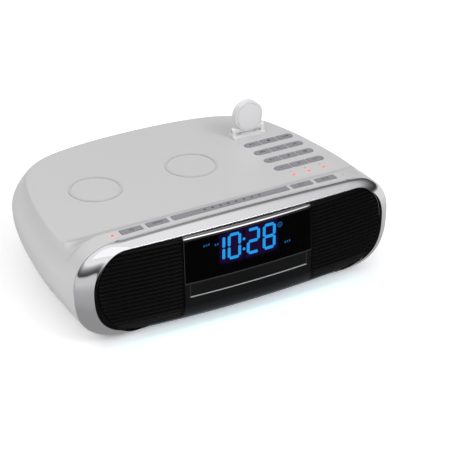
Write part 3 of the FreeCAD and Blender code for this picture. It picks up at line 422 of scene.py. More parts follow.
both_sides = DECK_SIDE + [(-across, deep) for across, deep in reversed(DECK_SIDE[:-1])]
chord = [0.0]
for one, two in zip(both_sides, both_sides[1:]):
    chord.append(chord[-1] + math.hypot(two[0] - one[0], two[1] - one[1]))
side_x = spline(chord, [point[0] for point in both_sides])
side_y = spline(chord, [point[1] for point in both_sides])
half_run = chord[len(DECK_SIDE) - 1]

# The sides bulge by SWELL half way up between SWELL_FROM and the deck.
SWELL, SWELL_FROM = 4.6, 25.0
# The edge over the sides is softest where the ramp runs out, from RAMP_START to RAMP_END.
EDGE, EDGE_SOFT, RAMP_END = 1.4, 12.0, 57.0
# Behind GATHER_FROM the columns run to a middle point that falls back by no more than GATHER_IN.
GATHER_FROM, GATHER_IN = 185.0, 15.0
# Distances from a column's top edge at which its roof gets a point, close together where the edge is rounded.
ROOF_STEPS = [0.35, 0.8, 1.3, 1.9, 2.6, 3.4, 4.3, 5.4, 6.8, 8.6, 11, 14, 18, 23, 30, 40, 55]


def pod_column(run):
    """Points from the bottom edge up the side and across the roof to the middle of the pod."""
    base_x, base_y = side_x(run), side_y(run)
    ahead_x, ahead_y = side_x(run + 0.5) - base_x, side_y(run + 0.5) - base_y
    size = math.hypot(ahead_x, ahead_y)
    out_x, out_y = ahead_y / size, -ahead_x / size
    share = ease((base_y - SEAM) / 50.0)
    if run < 1.0:
        out_x, out_y = 1.0, 0.0
    height = roof(base_y)
    blend = EDGE + EDGE_SOFT * ease((base_y - RAMP_START) / 8.0) * (1 - ease((base_y - RAMP_END) / 11.0))
    start = height - blend - 0.6

    def wall(level):
        swell = SWELL * math.sin(math.pi * clamp((level - SWELL_FROM) / (DECK - SWELL_FROM))) ** 2
        reach = hoop_width(level) - SIDE + swell * share
        return (base_x + out_x * reach, base_y + out_y * reach, level)

    column = []
    bottom = math.asin(((MID - FOOT) / LOW_RISE) ** (LOW_POWER / 2))
    for step in range(15):
        angle = bottom * (1 - step / 14.0)
        column.append(wall(MID - LOW_RISE * math.sin(angle) ** (2 / LOW_POWER)))
    top = math.asin(((start - MID) / UP_RISE) ** (UP_POWER / 2)) if start > MID else 0.0
    for step in range(1, 15):
        column.append(wall(MID + UP_RISE * math.sin(top * step / 14.0) ** (2 / UP_POWER)))
    edge = column[-1]
    beyond = max(base_y - GATHER_FROM, 0.0)
    target_y = min(base_y, GATHER_FROM) + GATHER_IN * (1 - math.exp(-beyond / GATHER_IN))
    run_x, run_y = -edge[0], target_y - edge[1]
    length = math.hypot(run_x, run_y)
    inner = -(run_x * out_x + run_y * out_y) / length
    outward = (edge[0] - base_x) * out_x + (edge[1] - base_y) * out_y
    spread = 0.55 + 0.075 * max(blend, 2.0)
    along = [min(value * spread, length * 0.5) for value in ROOF_STEPS]
    if along[-1] >= length * 0.5:
        along += [length * (0.5 + 0.5 * k / 8) for k in range(1, 9)] + [length]
    else:
        along += [along[-1] + (length - along[-1]) * k / 9 for k in range(1, 10)]
    for value in along:
        deep = edge[1] + run_y * value / length
        wide = SIDE + outward - value * inner
        limit = roof(deep) if base_y < 75 else DECK
        level = soft_min(hoop_height(max(wide, 0.0)), limit, blend)
        column.append((edge[0] + run_x * value / length, deep, level))
    column[-1] = (0.0, column[-1][1], column[-1][2])
    return column


def apply_modifiers(item):
    """Bakes a piece's modifiers into its mesh."""
    graph = bpy.context.evaluated_depsgraph_get()
    made = bpy.data.meshes.new_from_object(item.evaluated_get(graph))
    item.modifiers.clear()
    item.data = made


# Front keys as (node, middle, width, top); lamps as (middle, depth, height of the face round them).
ROW_KEYS = [("power_button", -106.5, 22.4, 104.0), ("mode_button", -79.2, 22.4, 104.45),
            ("snooze_bar", 0.0, 127.0, 104.8), ("alarm_one_button", 79.2, 22.4, 104.45),
            ("alarm_two_button", 106.5, 22.4, 104.0)]
ROW_DEEP, ROW_LONG = 36.0, 8.1
GRID_X, GRID_PITCH, GRID_Y, GRID_ROW = 117.4, 19.6, 102.4, 20.2
GRID_WIDE, GRID_LONG = 18.2, 9.6
LIGHTS = [(-126.5, 35.6, 102.9), (100.0, 83.5, 89.0), (117.4, 83.2, 89.0), (134.8, 83.0, 89.0)]
MICROPHONE = (126.5, 35.6)


def key_outline(wide, long, ends=0, grow=0.0):
    """Outline of a key; ends is -1 or 1 when that side is half round."""
    wide, long = wide + 2 * grow, long + 2 * grow
    if not ends:
        return round_rect(wide, long, 0.45 + grow, 4)
    radius = long / 2
    points = []
    for step in range(21):
        angle = math.radians(-90 + 9 * step)
        points.append((wide / 2 - radius + radius * math.cos(angle), radius * math.sin(angle)))
    points += [(0.4 - wide / 2, long / 2), (0.12 - wide / 2, long / 2 - 0.12), (-wide / 2, long / 2 - 0.4),
               (-wide / 2, 0.4 - long / 2), (0.12 - wide / 2, 0.12 - long / 2), (0.4 - wide / 2, -long / 2)]
    return points if ends > 0 else [(-x, y) for x, y in reversed(points)]


def disc(x, y, radius, count=14):
    return [(x + radius * math.cos(2 * math.pi * k / count), y + radius * math.sin(2 * math.pi * k / count))
            for k in range(count)]


def shell_cutters():
    """Cut out of the shell: key openings, lamp holes, the microphone hole and the socket bay's window."""
    cutters = Shape()
    for label, across, wide, top in ROW_KEYS:
        cutters.upright(round_rect(wide + 0.5, ROW_LONG + 0.5, 0.7, 3), across, ROW_DEEP, 92, 110)
    for row in range(4):
        for column in (-1, 0, 1):
            opening = key_outline(GRID_WIDE, GRID_LONG, column, 0.3)
            cutters.upright(opening, GRID_X + GRID_PITCH * column, GRID_Y + GRID_ROW * row, 84, 92)
    for across, deep, top in LIGHTS:
        cutters.upright(disc(0, 0, 1.6, 20), across, deep, top - 9, top + 5)
    cutters.upright(disc(0, 0, 0.8, 20), *MICROPHONE, 94, 110)
    bay = round_rect(100.4, 26.4, 2.0, 4)
    cutters.prism([[(x, deep, 32 + y) for x, y in bay] for deep in (236, 300)])
    return cutters.make("shell_cutters", BLACK, None)


def build_cabinet():
    """The white shell: a skin of columns, thickened inwards, with its openings cut."""
    runs = [half_run * k / 92.0 for k in range(93)]
    runs += [deep - SEAM for deep in (41.0, 43.0, 45.0, 68.0, 69.0, 70.5)]
    right = [pod_column(run) for run in sorted({round(value, 4) for value in runs})]
    left = [[(-x, y, z) for x, y, z in column] for column in reversed(right[:-1])]
    pod = Shape()
    pod.grid(right + left)
    cabinet = pod.make("cabinet_shell", WHITE, None)
    work = bmesh.new()
    work.from_mesh(cabinet.data)
    bmesh.ops.remove_doubles(work, verts=work.verts, dist=2e-5)
    bmesh.ops.recalc_face_normals(work, faces=work.faces)
    work.to_mesh(cabinet.data)
    work.free()
    highest = max(cabinet.data.polygons, key=lambda face: face.center.z)
    if highest.normal.z < 0:
        cabinet.data.flip_normals()
    thick = cabinet.modifiers.new("wall", "SOLIDIFY")
    thick.thickness = WALL * MM
    thick.offset = -1.0
    thick.use_even_offset = True
    thick.thickness_clamp = 0.6
    apply_modifiers(cabinet)
    tool = shell_cutters()
    hole = cabinet.modifiers.new("holes", "BOOLEAN")
    hole.object = tool
    hole.operation = "DIFFERENCE"
    hole.solver = "EXACT"
    apply_modifiers(cabinet)
    bpy.data.objects.remove(tool)
    finish_mesh(cabinet, 34.0, weighted=True)
    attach(cabinet, "cabinet")
    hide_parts("upper_cabinet")


# ---------------------------------------------------------------- collar round the front
# Rings of the collar as (depth, half width, top, bottom).
RING_STEPS = [(26, 172.5, 104.5, 5.0), (22, 171.4, 104.45, 5.3), (18, 168.2, 104.3, 6.2),
              (14, 163.2, 104.0, 8.6), (11, 158.2, 103.7, 11.6), (7, 152.6, 103.2, 16.0),
              (2, 146.0, 102.4, 22.0)]
steps_up = list(reversed(RING_STEPS))
half_at, top_at, low_at = (spline([ring[0] for ring in steps_up], [ring[k] for ring in steps_up])
                           for k in (1, 2, 3))


def oval(deep, count=26):
    """Right half of the collar's outline at a depth, from the top middle to the bottom middle."""
    half, top, low = half_at(deep), top_at(deep), low_at(deep)
    soft = (RING_STEPS[0][1] - half) * 0.35
    shoulder, crown = half - (UP_OUT - soft), top - CROWN
    points = []
    for step in range(12):
        across = shoulder * step / 12.0
        points.append((across, top - CROWN * (across / shoulder) ** CROWN_POWER))
    for x, z in reversed(squircle(shoulder, UP_OUT - soft, crown - MID, UP_POWER, count)):
        points.append((x, MID + z))
    for x, z in squircle(half - (LOW_OUT - soft), LOW_OUT - soft, MID - low, LOW_POWER, count)[1:]:
        points.append((x, MID - z))
    return points + [(60.0, low), (0.0, low)]


# The front opening: height of its widest point, then centre, reach, rise and power above and below it.
MOUTH_MID = 62.0
MOUTH_UP = (118.0, 37.0, 38.5, 2.2)
MOUTH_LOW = (105.0, 50.0, 55.0, 1.95)


def mouth(count=26):
    """Right half of the front opening, from the top middle to the bottom middle."""
    (up_centre, up_out, up_rise, up_power), (low_centre, low_out, low_rise, low_power) = MOUTH_UP, MOUTH_LOW
    points = []
    for step in range(14):
        share = step / 14.0
        points.append((up_centre * share, MOUTH_MID + up_rise + 0.7 * (1 - share ** 2.4)))
    for x, z in reversed(squircle(up_centre, up_out, up_rise, up_power, count)):
        points.append((x, MOUTH_MID + z))
    for x, z in squircle(low_centre, low_out, low_rise, low_power, count)[1:]:
        points.append((x, MOUTH_MID - z))
    for step in range(1, 13):
        points.append((low_centre * (1 - step / 12.0), MOUTH_MID - low_rise))
    return points


def mouth_half(level, inset=0.0):
    """Half width of the opening at a height."""
    centre, out, rise, power = MOUTH_UP if level >= MOUTH_MID else MOUTH_LOW
    share = min(abs(level - MOUTH_MID) / (rise - inset), 1.0)
    return centre + (out - inset) * (1 - share ** power) ** (1 / power)


def distance_out(point, normal, outline):
    """How far the outline lies from a point along a direction."""
    best = None
    for (ax, az), (bx, bz) in zip(outline, outline[1:]):
        ex, ez = bx - ax, bz - az
        cross = normal[0] * ez - normal[1] * ex
        if abs(cross) < 1e-9:
            continue
        dx, dz = ax - point[0], az - point[1]
        reach = (dx * ez - dz * ex) / cross
        share = (dx * normal[1] - dz * normal[0]) / cross
        if -0.001 <= share <= 1.001 and reach > -30 and (best is None or abs(reach) < abs(best)):
            best = reach
    return best if best is not None else 0.0


def face_trim(across):
    """Depth of the collar's front edge, which follows the bowed front."""
    return 4.0 + across * across / (2 * 1716.0)


def rim_normals(rim):
    """Sideways direction at each point of the opening's outline, away from its middle."""
    normals = []
    for i, (x, z) in enumerate(rim):
        before = rim[i - 1] if i else (-rim[1][0], rim[1][1])
        after = rim[i + 1] if i + 1 < len(rim) else (-rim[-2][0], rim[-2][1])
        run_x, run_z = after[0] - before[0], after[1] - before[1]
        size = math.hypot(run_x, run_z)
        across, up = run_z / size, -run_x / size
        if across * x + up * (z - MID) < 0:
            across, up = -across, -up
        normals.append((across, up))
    return normals


RING_DEPTHS = [26.0, 25.6, 25.2, 24.4, 23.4, 22.2, 21, 19.6, 18, 16.5, 15, 13.5, 12, 10.8, 9.6, 8.4, 7.2, 6.0,
               5.0, 4.0]


def collar_profile(x, reaches, up):
    """Section of the collar at a point of the opening, as (depth, reach away from the opening)."""
    end = face_trim(x)
    for deep, reach, deeper, further in zip(RING_DEPTHS[1:], reaches[1:], RING_DEPTHS, reaches):
        if reach < 0.5 <= further:
            end = max(end, deep + (deeper - deep) * (0.5 - reach) / (further - reach))
            break
    reach_at = spline(list(reversed(RING_DEPTHS)), list(reversed(reaches)))
    profile = []
    for step in range(41):
        deep = SEAM + (end + 0.5 - SEAM) * step / 40
        reach = reach_at(deep)
        on_top = clamp((abs(up) - 0.8) / 0.15) if up > 0 else 0.0
        reach -= 0.10 * on_top * max(deep - 19.6, 0.0)
        if deep > 24.6:
            reach -= 0.55 * ((deep - 24.6) / 1.4) ** 1.5
        profile.append((deep, max(reach, 0.3)))
    last = profile[-1][1]
    for step in range(1, 5):
        angle = math.pi / 2 * step / 4
        narrow = last * math.cos(angle * 0.9)
        if last > 0.6:
            narrow = last - 0.5 * (1 - math.cos(angle))
        profile.append((end + 0.5 - 0.5 * math.sin(angle), narrow))
    profile.append((end, min(0.25, last * 0.5)))
    return profile + [(deep, 0.0) for deep in (end + 0.25, end + 4.0, SEAM - 2.0, SEAM)]


def build_collar():
    """The bright collar: a section carried round the front opening, its outer face following the ovals."""
    rim = mouth()
    ovals = [oval(deep) for deep in RING_DEPTHS]
    columns = []
    for (x, z), (across, up) in zip(rim, rim_normals(rim)):
        reaches = [distance_out((x, z), (across, up), outline) for outline in ovals]
        profile = collar_profile(x, reaches, up)
        columns.append([(x + across * reach, deep, z + up * reach) for deep, reach in profile])
    mirrored = [[(-x, y, z) for x, y, z in column] for column in reversed(columns[1:-1])]
    loop = columns + mirrored + columns[:1]
    collar = Shape()
    collar.grid(loop)
    collar.grid([[column[0] for column in loop], [column[-1] for column in loop]])
    collar.make("collar_ring", SILVER, "cabinet", ["bezel_ring"], sharp=50.0, weighted=True)


# ---------------------------------------------------------------- bowed front
def face_path(count=10):
    """Side profile of the front from the lower lip to the rolled top edge: (y, z, normal y, normal z)."""
    spots = []
    for step in range(2 * count + 1):
        angle = math.radians(248 - step * 68 / (2 * count))
        spots.append((18 + 20 * math.cos(angle), 28 + 20 * math.sin(angle), math.cos(angle), math.sin(angle)))
    for step in range(1, count + 1):
        share = step / count
        spots.append((-2.0, 28 + 24.2 * share, -1.0, 0.0))
    for step in range(1, 2 * count + 1):
        share = step / (2 * count)
        tilt = 0.054 * share
        spots.append((-2.0 + 2.3 * share, 52.2 + 42.4 * share, -math.sqrt(1 - tilt * tilt), tilt))
    for step in range(1, 2 * count + 1):
        angle = math.radians(176.9 - step * 86.9 / (2 * count))
        out_y, out_z = math.cos(angle), math.sin(angle)
        spots.append((6.3 + 6 * out_y, 94.6 + 6 * out_z, out_y, out_z))
    return spots


PATH = face_path()
LENGTHS = [0.0]
for one, two in zip(PATH, PATH[1:]):
    LENGTHS.append(LENGTHS[-1] + math.hypot(two[0] - one[0], two[1] - one[1]))
TOTAL = LENGTHS[-1]


def on_path(length):
    """Point and normal at a length along the profile."""
    length = clamp(length, 0.0, TOTAL)
    i = min(max(int(np.searchsorted(LENGTHS, length)) - 1, 0), len(PATH) - 2)
    share = (length - LENGTHS[i]) / (LENGTHS[i + 1] - LENGTHS[i])
    return [PATH[i][k] + (PATH[i + 1][k] - PATH[i][k]) * share for k in range(4)]


def path_length(level):
    """Length along the profile where it reaches a height."""
    for i, (one, two) in enumerate(zip(PATH, PATH[1:])):
        if one[1] <= level <= two[1]:
            return LENGTHS[i] + (LENGTHS[i + 1] - LENGTHS[i]) * (level - one[1]) / (two[1] - one[1])
    return TOTAL


BOW_RADIUS, BOW_AXIS = 1000.0, 998.0


def bowed(across, deep, high):
    """Turns a point of the side profile about the upright bow axis, out to a width."""
    reach = BOW_AXIS - deep
    angle = math.asin(clamp(across / BOW_RADIUS, -1, 1))
    return (reach * math.sin(angle), BOW_AXIS - reach * math.cos(angle), high)


def front_point(across, length, raise_by=0.0):
    """Point of the bowed front at a width and a length along the profile, raised along the normal."""
    deep, high, out_y, out_z = on_path(length)
    return bowed(across, deep + raise_by * out_y, high + raise_by * out_z)


RIB_PITCH = 4.2
TOP_ROLL = 3.2
GRILLE_IN = 69.9


def rib_height(length):
    """Cross section of the ribbed grille: rounded ribs with flat grooves."""
    phase = ((length - 2.0) / RIB_PITCH) % 1.0
    if length < 2.0 or length > TOTAL - TOP_ROLL:
        return 0.0
    rise = ease((phase - 0.02) / 0.2) * (1 - ease((phase - 0.62) / 0.2))
    return -1.5 + 1.5 * rise

def build_grille(side, label):
    """Ribbed grille on one side, with a plain border at its inner edge and along the collar."""
    lengths = [RIB_PITCH * k / 16.0 for k in range(int((TOTAL - TOP_ROLL) / RIB_PITCH * 16) + 1)]
    lengths += [TOTAL - TOP_ROLL + TOP_ROLL * k / 8 for k in range(9)]
    ribs_from = GRILLE_IN + 1.25
    front, behind = [], []
    for length in lengths:
        level = on_path(length)[1]
        outer = max(mouth_half(level, 0.15), GRILLE_IN + 6.0)
        border = max(min(mouth_half(level, 0.75), outer - 0.3), GRILLE_IN + 3.0)
        widths = [(GRILLE_IN, 0), (GRILLE_IN + 0.9, 0), (ribs_from, 1)]
        widths += [(ribs_from + (border - 0.35 - ribs_from) * k / 16.0, 1) for k in range(1, 17)]
        widths += [(border, 0), ((border + outer) / 2, 0), (outer, 0)]
        lift = rib_height(length)
        front.append([front_point(side * across, length, lift * ribbed) for across, ribbed in widths])
        behind.append([front_point(side * across, length, -2.6) for across, ribbed in widths])
    shape = Shape()
    shape.slab(front, behind)
    shape.make(label + "_ribs", GRILLE, "cabinet", [label], sharp=60.0)


PLATE = 2.4


def plate(name, low, high, half, material, body, nodes, round_by, rows=40):
    """A bowed plate on the profile between two heights, with rounded edges all round."""
    start, stop = path_length(low), path_length(high)
    columns = 33
    shape = Shape()
    levels = [0, 0.04, 0.12, 0.25, 0.45, 0.7, 1.0]
    ends = [round_by * value for value in levels]
    lengths = [start + e for e in ends] + \
        [start + round_by + (stop - start - 2 * round_by) * k / rows for k in range(1, rows)] + \
        [stop - e for e in reversed(ends)]
    widths = [-half + e for e in ends] + \
        [-half + round_by + 2 * (half - round_by) * k / columns for k in range(1, columns)] + \
        [half - e for e in reversed(ends)]

    def edge_drop(gap):
        short = 1 - min(gap / round_by, 1.0)
        return round_by * (1 - math.sqrt(max(1 - short * short, 0)))

    front, behind = [], []
    for length in lengths:
        along_gap = min(length - start, stop - length)
        row, row_back = [], []
        for across in widths:
            gap = half - abs(across)
            drop = max(edge_drop(gap), edge_drop(along_gap))
            row.append(front_point(across, length, -drop))
            row_back.append(front_point(across, length, -PLATE))
        front.append(row)
        behind.append(row_back)
    shape.slab(front, behind)
    shape.make(name, material, body, nodes, sharp=50.0)


def strip(shape, low, high, left_x, right_x, rows, columns, mark=0):
    """Closed bowed strip between two lengths along the profile and two widths."""
    places = [left_x + (right_x - left_x) * k / columns for k in range(columns + 1)]
    lengths = [low + (high - low) * i / rows for i in range(rows + 1)]
    front = [[front_point(across, length) for across in places] for length in lengths]
    behind = [[front_point(across, length, -PLATE) for across in places] for length in lengths]
    shape.slab(front, behind, mark)


HALF, SLOT = 69.6, 63.85
SLOT_LOW, SLOT_HIGH = path_length(37.35), path_length(51.25)
# Widths of the painted highlight lines below and beside the slot.
LOW_LINE, SIDE_LINE = 0.75, 0.45


def build_fascia():
    """The lower fascia: bowed strips round the door's slot, a painted highlight line below it and dim painted
    highlight lines beside and above it.
    """
    fascia = Shape()
    line_low, line_out = SLOT_LOW - LOW_LINE, SLOT + SIDE_LINE
    strip(fascia, 0.0, line_low, -HALF, HALF, 30, 34)
    # Material 1 is the painted highlight under the slot; material 2 is the fainter painted highlight beside
    # and above it.
    strip(fascia, line_low, SLOT_LOW, -line_out, line_out, 1, 34, 1)
    for side in (-1, 1):
        strip(fascia, line_low, SLOT_LOW, side * HALF, side * line_out, 1, 3)
        strip(fascia, SLOT_LOW, SLOT_HIGH, side * HALF, side * line_out, 8, 3)
        strip(fascia, SLOT_LOW, SLOT_HIGH, side * line_out, side * SLOT, 8, 1, 2)
    strip(fascia, SLOT_HIGH, path_length(51.9), -HALF, HALF, 2, 34, 2)
    fascia.make("lower_panel", [CHARCOAL, SLOT_LIP_HIGHLIGHT, SLOT_EDGE_SHEEN], "cabinet", ["lower_fascia"], sharp=50.0)


# ---------------------------------------------------------------- keys
def key_cap(across, deep, wide, long, low, top, ends, flange, icon):
    """A push key with a rounded top edge, a flange under the deck and a printed sign in the middle."""
    shape = Shape()
    button(shape, key_outline(wide, long, ends), low, top, 0.35, lambda x, y, z: (across + x, deep + y, z))
    foot = round_rect(wide + flange, long + 1.8, 0.3, 2)
    shape.upright(foot, across, deep, low - 1.1, low)
    for polygon in icon:
        shape.upright(polygon, across, deep, top - 0.05, top + 0.05, 1)
    return shape


def bar(x0, y0, x1, y1):
    return [(x0, y0), (x1, y0), (x1, y1), (x0, y1)]


def wedge(x, y, size, way=1):
    return [(x - way * size, y - size), (x + way * size, y), (x - way * size, y + size)][::way]


def arc_band(x, y, radius, thick, start, stop, count=18):
    outer, inner = [], []
    for k in range(count + 1):
        angle = math.radians(start + (stop - start) * k / count)
        outer.append((x + radius * math.cos(angle), y + radius * math.sin(angle)))
        inner.append((x + (radius - thick) * math.cos(angle), y + (radius - thick) * math.sin(angle)))
    return outer + inner[::-1]


ICONS = {
    "power_button": [arc_band(0, 0, 2.1, 0.5, 120, 420), bar(-0.28, 0.6, 0.28, 2.6)],
    "mode_button": [bar(-5 + 2.2 * k, -0.8, -3.6 + 2.2 * k, 0.8) for k in range(5)],
    "snooze_bar": [bar(-30 + 8.6 * k, -1.0, -27.6 + 8.6 * k, 1.0) for k in range(8)],
    "alarm_one_button": [arc_band(-2.2, 0, 1.8, 0.45, 0, 359), bar(1.4, -1.6, 2.0, 1.6)],
    "alarm_two_button": [arc_band(-2.6, 0, 1.8, 0.45, 0, 359), bar(0.8, -1.6, 1.4, 1.6),
                         bar(2.2, -1.6, 2.8, 1.6)],
}
GRID_ICONS = {
    (1, 1): [wedge(-1.6, 0, 1.5), bar(0.6, -1.5, 1.2, 1.5), bar(1.9, -1.5, 2.5, 1.5)],
    (1, 2): [bar(-1.5, -1.5, 1.5, 1.5)],
    (1, 3): [wedge(0.2, 0, 1.4, -1), wedge(2.6, 0, 1.4, -1), bar(-2.4, -1.4, -1.8, 1.4)],
    (2, 1): [wedge(-1.6, 0, 1.4), wedge(0.9, 0, 1.4), bar(2.5, -1.4, 3.1, 1.4)],
    (2, 2): [arc_band(0, 0, 1.9, 0.5, 30, 330)],
    (2, 3): [bar(-2.4, -1.6, -1.7, 0.2), bar(-0.9, -1.6, -0.2, 0.9), bar(0.6, -1.6, 1.3, 1.6)],
    (3, 1): [disc(-2.0, 0, 1.1), bar(-0.2, -0.3, 2.4, 0.3)],
    (3, 2): [disc(0, 0, 1.3)],
    (3, 3): [bar(-2.5, -0.3, 2.5, 0.3), bar(-1.6, 0.9, 1.6, 1.5), bar(-1.6, -1.5, 1.6, -0.9)],
    (4, 1): [bar(-2.4, -0.3, 0.4, 0.3)],
    (4, 2): [bar(-1.4, -0.3, 1.4, 0.3), bar(-0.3, -1.4, 0.3, 1.4)],
    (4, 3): [arc_band(-0.6, 0, 1.7, 0.45, 60, 300), bar(0.8, -0.3, 2.6, 0.3)],
}


def build_keys():
    for label, across, wide, top in ROW_KEYS:
        cap = key_cap(across, ROW_DEEP, wide, ROW_LONG, top - 3.9, top, 0, 1.6, ICONS[label])
        cap.make(label + "_cap", [KEY, ICON], label, [label], weighted=True)
    for row in range(1, 5):
        for column in range(1, 4):
            label = "grid_key_%d_%d" % (row, column)
            across, deep = GRID_X + GRID_PITCH * (column - 2), GRID_Y + GRID_ROW * (4 - row)
            cap = key_cap(across, deep, GRID_WIDE, GRID_LONG, DECK - 3.4, DECK + 0.5, column - 2, 0.0,
                          GRID_ICONS[(row, column)])
            cap.make(label + "_cap", [KEY, ICON], label, [label], weighted=True)


LAMP_SIGNS = [(100.0, [bar(-0.9, 0, -0.3, 1.6), bar(0.2, 0, 1.3, 0.5)]), (117.4, [disc(0, 0.8, 0.8)]),
              (134.8, [bar(-1.3, 0, 1.3, 0.5), bar(-0.7, 1.0, 0.7, 1.5)])]


def build_lamp_signs():
    """Small plain marks printed on the deck behind the three lamps."""
    printed = Shape()
    for across, signs in LAMP_SIGNS:
        for outline in signs:
            printed.upright(outline, across, 90.0, DECK - 0.07, DECK + 0.04)
    printed.make("lamp_signs", PRINT, "cabinet")


# ---------------------------------------------------------------- clock digits behind the lens
def lens_cell(shape, outline, lift=0.03, thick=0.06):
    """A thin flat sign on the lens; outline is (across, height) points."""
    places = [(x, path_length(z)) for x, z in outline]
    shape.prism([[front_point(x, length, raised) for x, length in places] for raised in (lift - thick, lift)])


def segment(x0, z0, x1, z1, wide, gap):
    """A bar with blunt pointed ends between two corners of a digit."""
    run = math.hypot(x1 - x0, z1 - z0)
    ux, uz = (x1 - x0) / run, (z1 - z0) / run
    half = wide / 2
    points = []
    for along, side in ((gap, -0.35), (gap + 0.55 * half, -0.92), (gap + half, -1), (run - gap - half, -1),
                        (run - gap - 0.55 * half, -0.92), (run - gap, -0.35), (run - gap, 0.35),
                        (run - gap - 0.55 * half, 0.92), (run - gap - half, 1), (gap + half, 1),
                        (gap + 0.55 * half, 0.92), (gap, 0.35)):
        points.append((x0 + ux * along - uz * side * half, z0 + uz * along + ux * side * half))
    return points


# Each segment of a digit joins two corners, given as shares of the digit's width and height.
SEGMENTS = {"a": ((0, 1), (1, 1)), "b": ((1, 1), (1, 0.5)), "c": ((1, 0.5), (1, 0)), "d": ((0, 0), (1, 0)),
            "e": ((0, 0.5), (0, 0)), "f": ((0, 1), (0, 0.5)), "g": ((0, 0.5), (1, 0.5))}
SHOWN = {"0": "abcdef", "1": "bc", "2": "abged", "8": "abcdefg"}
DIGIT_LOW, DIGIT_HIGH, DIGIT_WIDE, STROKE, LEAN, SEGMENT_GAP = 68.0, 24.0, 11.3, 3.1, 0.03, 0.62
DIGITS = [("1", -40.0), ("0", -23.0), ("2", -2.4), ("8", 15.2)]


def digit(lit, unlit, sign, left_x):
    for name, ends in SEGMENTS.items():
        corners = []
        for x, z in ends:
            corners += [left_x + DIGIT_WIDE * x + LEAN * DIGIT_HIGH * z, DIGIT_LOW + DIGIT_HIGH * z]
        if name in SHOWN[sign]:
            lens_cell(lit, segment(*corners, STROKE, SEGMENT_GAP))
        elif sign != "1":
            lens_cell(unlit, segment(*corners, STROKE, SEGMENT_GAP))


def build_clock():
    """Time in lit segments and in unlit ones with a faint painted glow, a ring sign and rows of plain bars
    for the small words.
    """
    lit, unlit, signs = Shape(), Shape(), Shape()
    for sign, left_x in DIGITS:
        digit(lit, unlit, sign, left_x)
    for across, level in ((-6.6, 84.3), (-6.8, 73.9)):
        lens_cell(lit, disc(across, level, 1.5))
    lens_cell(signs, arc_band(33.4, 88.7, 2.8, 1.0, 0, 359, 30))
    lens_cell(signs, disc(33.4, 88.7, 0.9))
    for across, level, count in ((-49.6, 86.2, 3), (-37.8, 84.6, 2), (38.4, 67.4, 3)):
        for k in range(count):
            left_x, low = across + 2.5 * k, level + 0.25 * k
            lens_cell(signs, bar(left_x, low, left_x + 1.5, low + 2.1))
    lit.make("clock_digits", BLUE, "cabinet")
    unlit.make("clock_unlit_segments", GHOST_PAINTED_GLOW, "cabinet")
    signs.make("clock_signs", BLUE_DIM, "cabinet")


# ---------------------------------------------------------------- floor, light, camera
def build_floor(half=6.0):
    mesh = bpy.data.meshes.new("floor")
    corners = [(-half, -half, 0), (half, -half, 0), (half, half, 0), (-half, half, 0)]
    mesh.from_pydata(corners, [], [(0, 1, 2, 3)])
    floor = bpy.data.objects.new("floor", mesh)
    bpy.context.scene.collection.objects.link(floor)
    paint_white = new_material("floor_white", 0.6, (0.93, 0.93, 0.935), vary=0.004, vary_scale=3, bump=0.0)
    shader = paint_white.node_tree.nodes["Principled BSDF"]
    shader.inputs["Emission Color"].default_value = (1, 1, 1, 1)
    shader.inputs["Emission Strength"].default_value = 0.24
    mesh.materials.append(paint_white)
    floor.visible_glossy = False


def area(name, at, towards, wide, high, power, colour=(1, 1, 1)):
    lamp = bpy.data.lights.new(name, "AREA")
    lamp.shape = "RECTANGLE"
    lamp.size, lamp.size_y = wide, high
    lamp.energy = power
    lamp.color = colour
    item = bpy.data.objects.new(name, lamp)
    item.location = at
    item.rotation_euler = (Vector(towards) - Vector(at)).to_track_quat("-Z", "Y").to_euler()
    bpy.context.scene.collection.objects.link(item)
    return item


def ramp_from(tree, stops, source):
    """Grey colour ramp driven by a socket; stops are (position, value) pairs."""
    node = tree.nodes.new("ShaderNodeValToRGB")
    node.color_ramp.interpolation = "LINEAR"
    marks = node.color_ramp.elements
    for mark, (position, value) in zip(marks, (stops[0], stops[-1])):
        mark.position = position
        mark.color = (value, value, value, 1)
    for position, value in stops[1:-1]:
        marks.new(position).color = (value, value, value, 1)
    tree.links.new(source, node.inputs["Fac"])
    return node.outputs["Color"]


# How bright the room is in each direction, as (share, strength) stops.
SKY_BY_HEIGHT = [(0.0, 0.46), (0.035, 0.46), (0.065, 0.05), (0.20, 0.10), (0.34, 0.26), (0.48, 0.60),
                 (0.58, 0.96), (1.0, 0.90)]
SKY_BY_SIDE = [(0.0, 1.0), (0.40, 1.0), (0.56, 0.68), (1.0, 0.66)]
DARK_CORNER = [(0.0, 0.46), (0.56, 0.46), (0.64, 0.006), (1.0, 0.006)]
BELOW_BY_SIDE = [(0.0, 1.0), (0.45, 1.0), (0.75, 1.25), (1.0, 1.25)]
BELOW_BY_HEIGHT = [(0.0, 0.70), (0.35, 0.72), (0.55, 1.05), (0.75, 1.45), (1.0, 1.45)]
STRIP_BY_HEIGHT = [(0.0, 0), (0.46, 0), (0.53, 1), (0.68, 1), (0.76, 0), (1.0, 0)]
STRIP_BY_DEPTH = [(0.0, 0), (0.16, 0), (0.28, 1), (1.0, 1)]
STRIP_BY_SIDE = [(0.0, 0), (0.10, 0), (0.22, 1), (0.46, 1), (0.62, 0.2), (0.76, 0), (1.0, 0)]
STRIP_POWER = 6.5


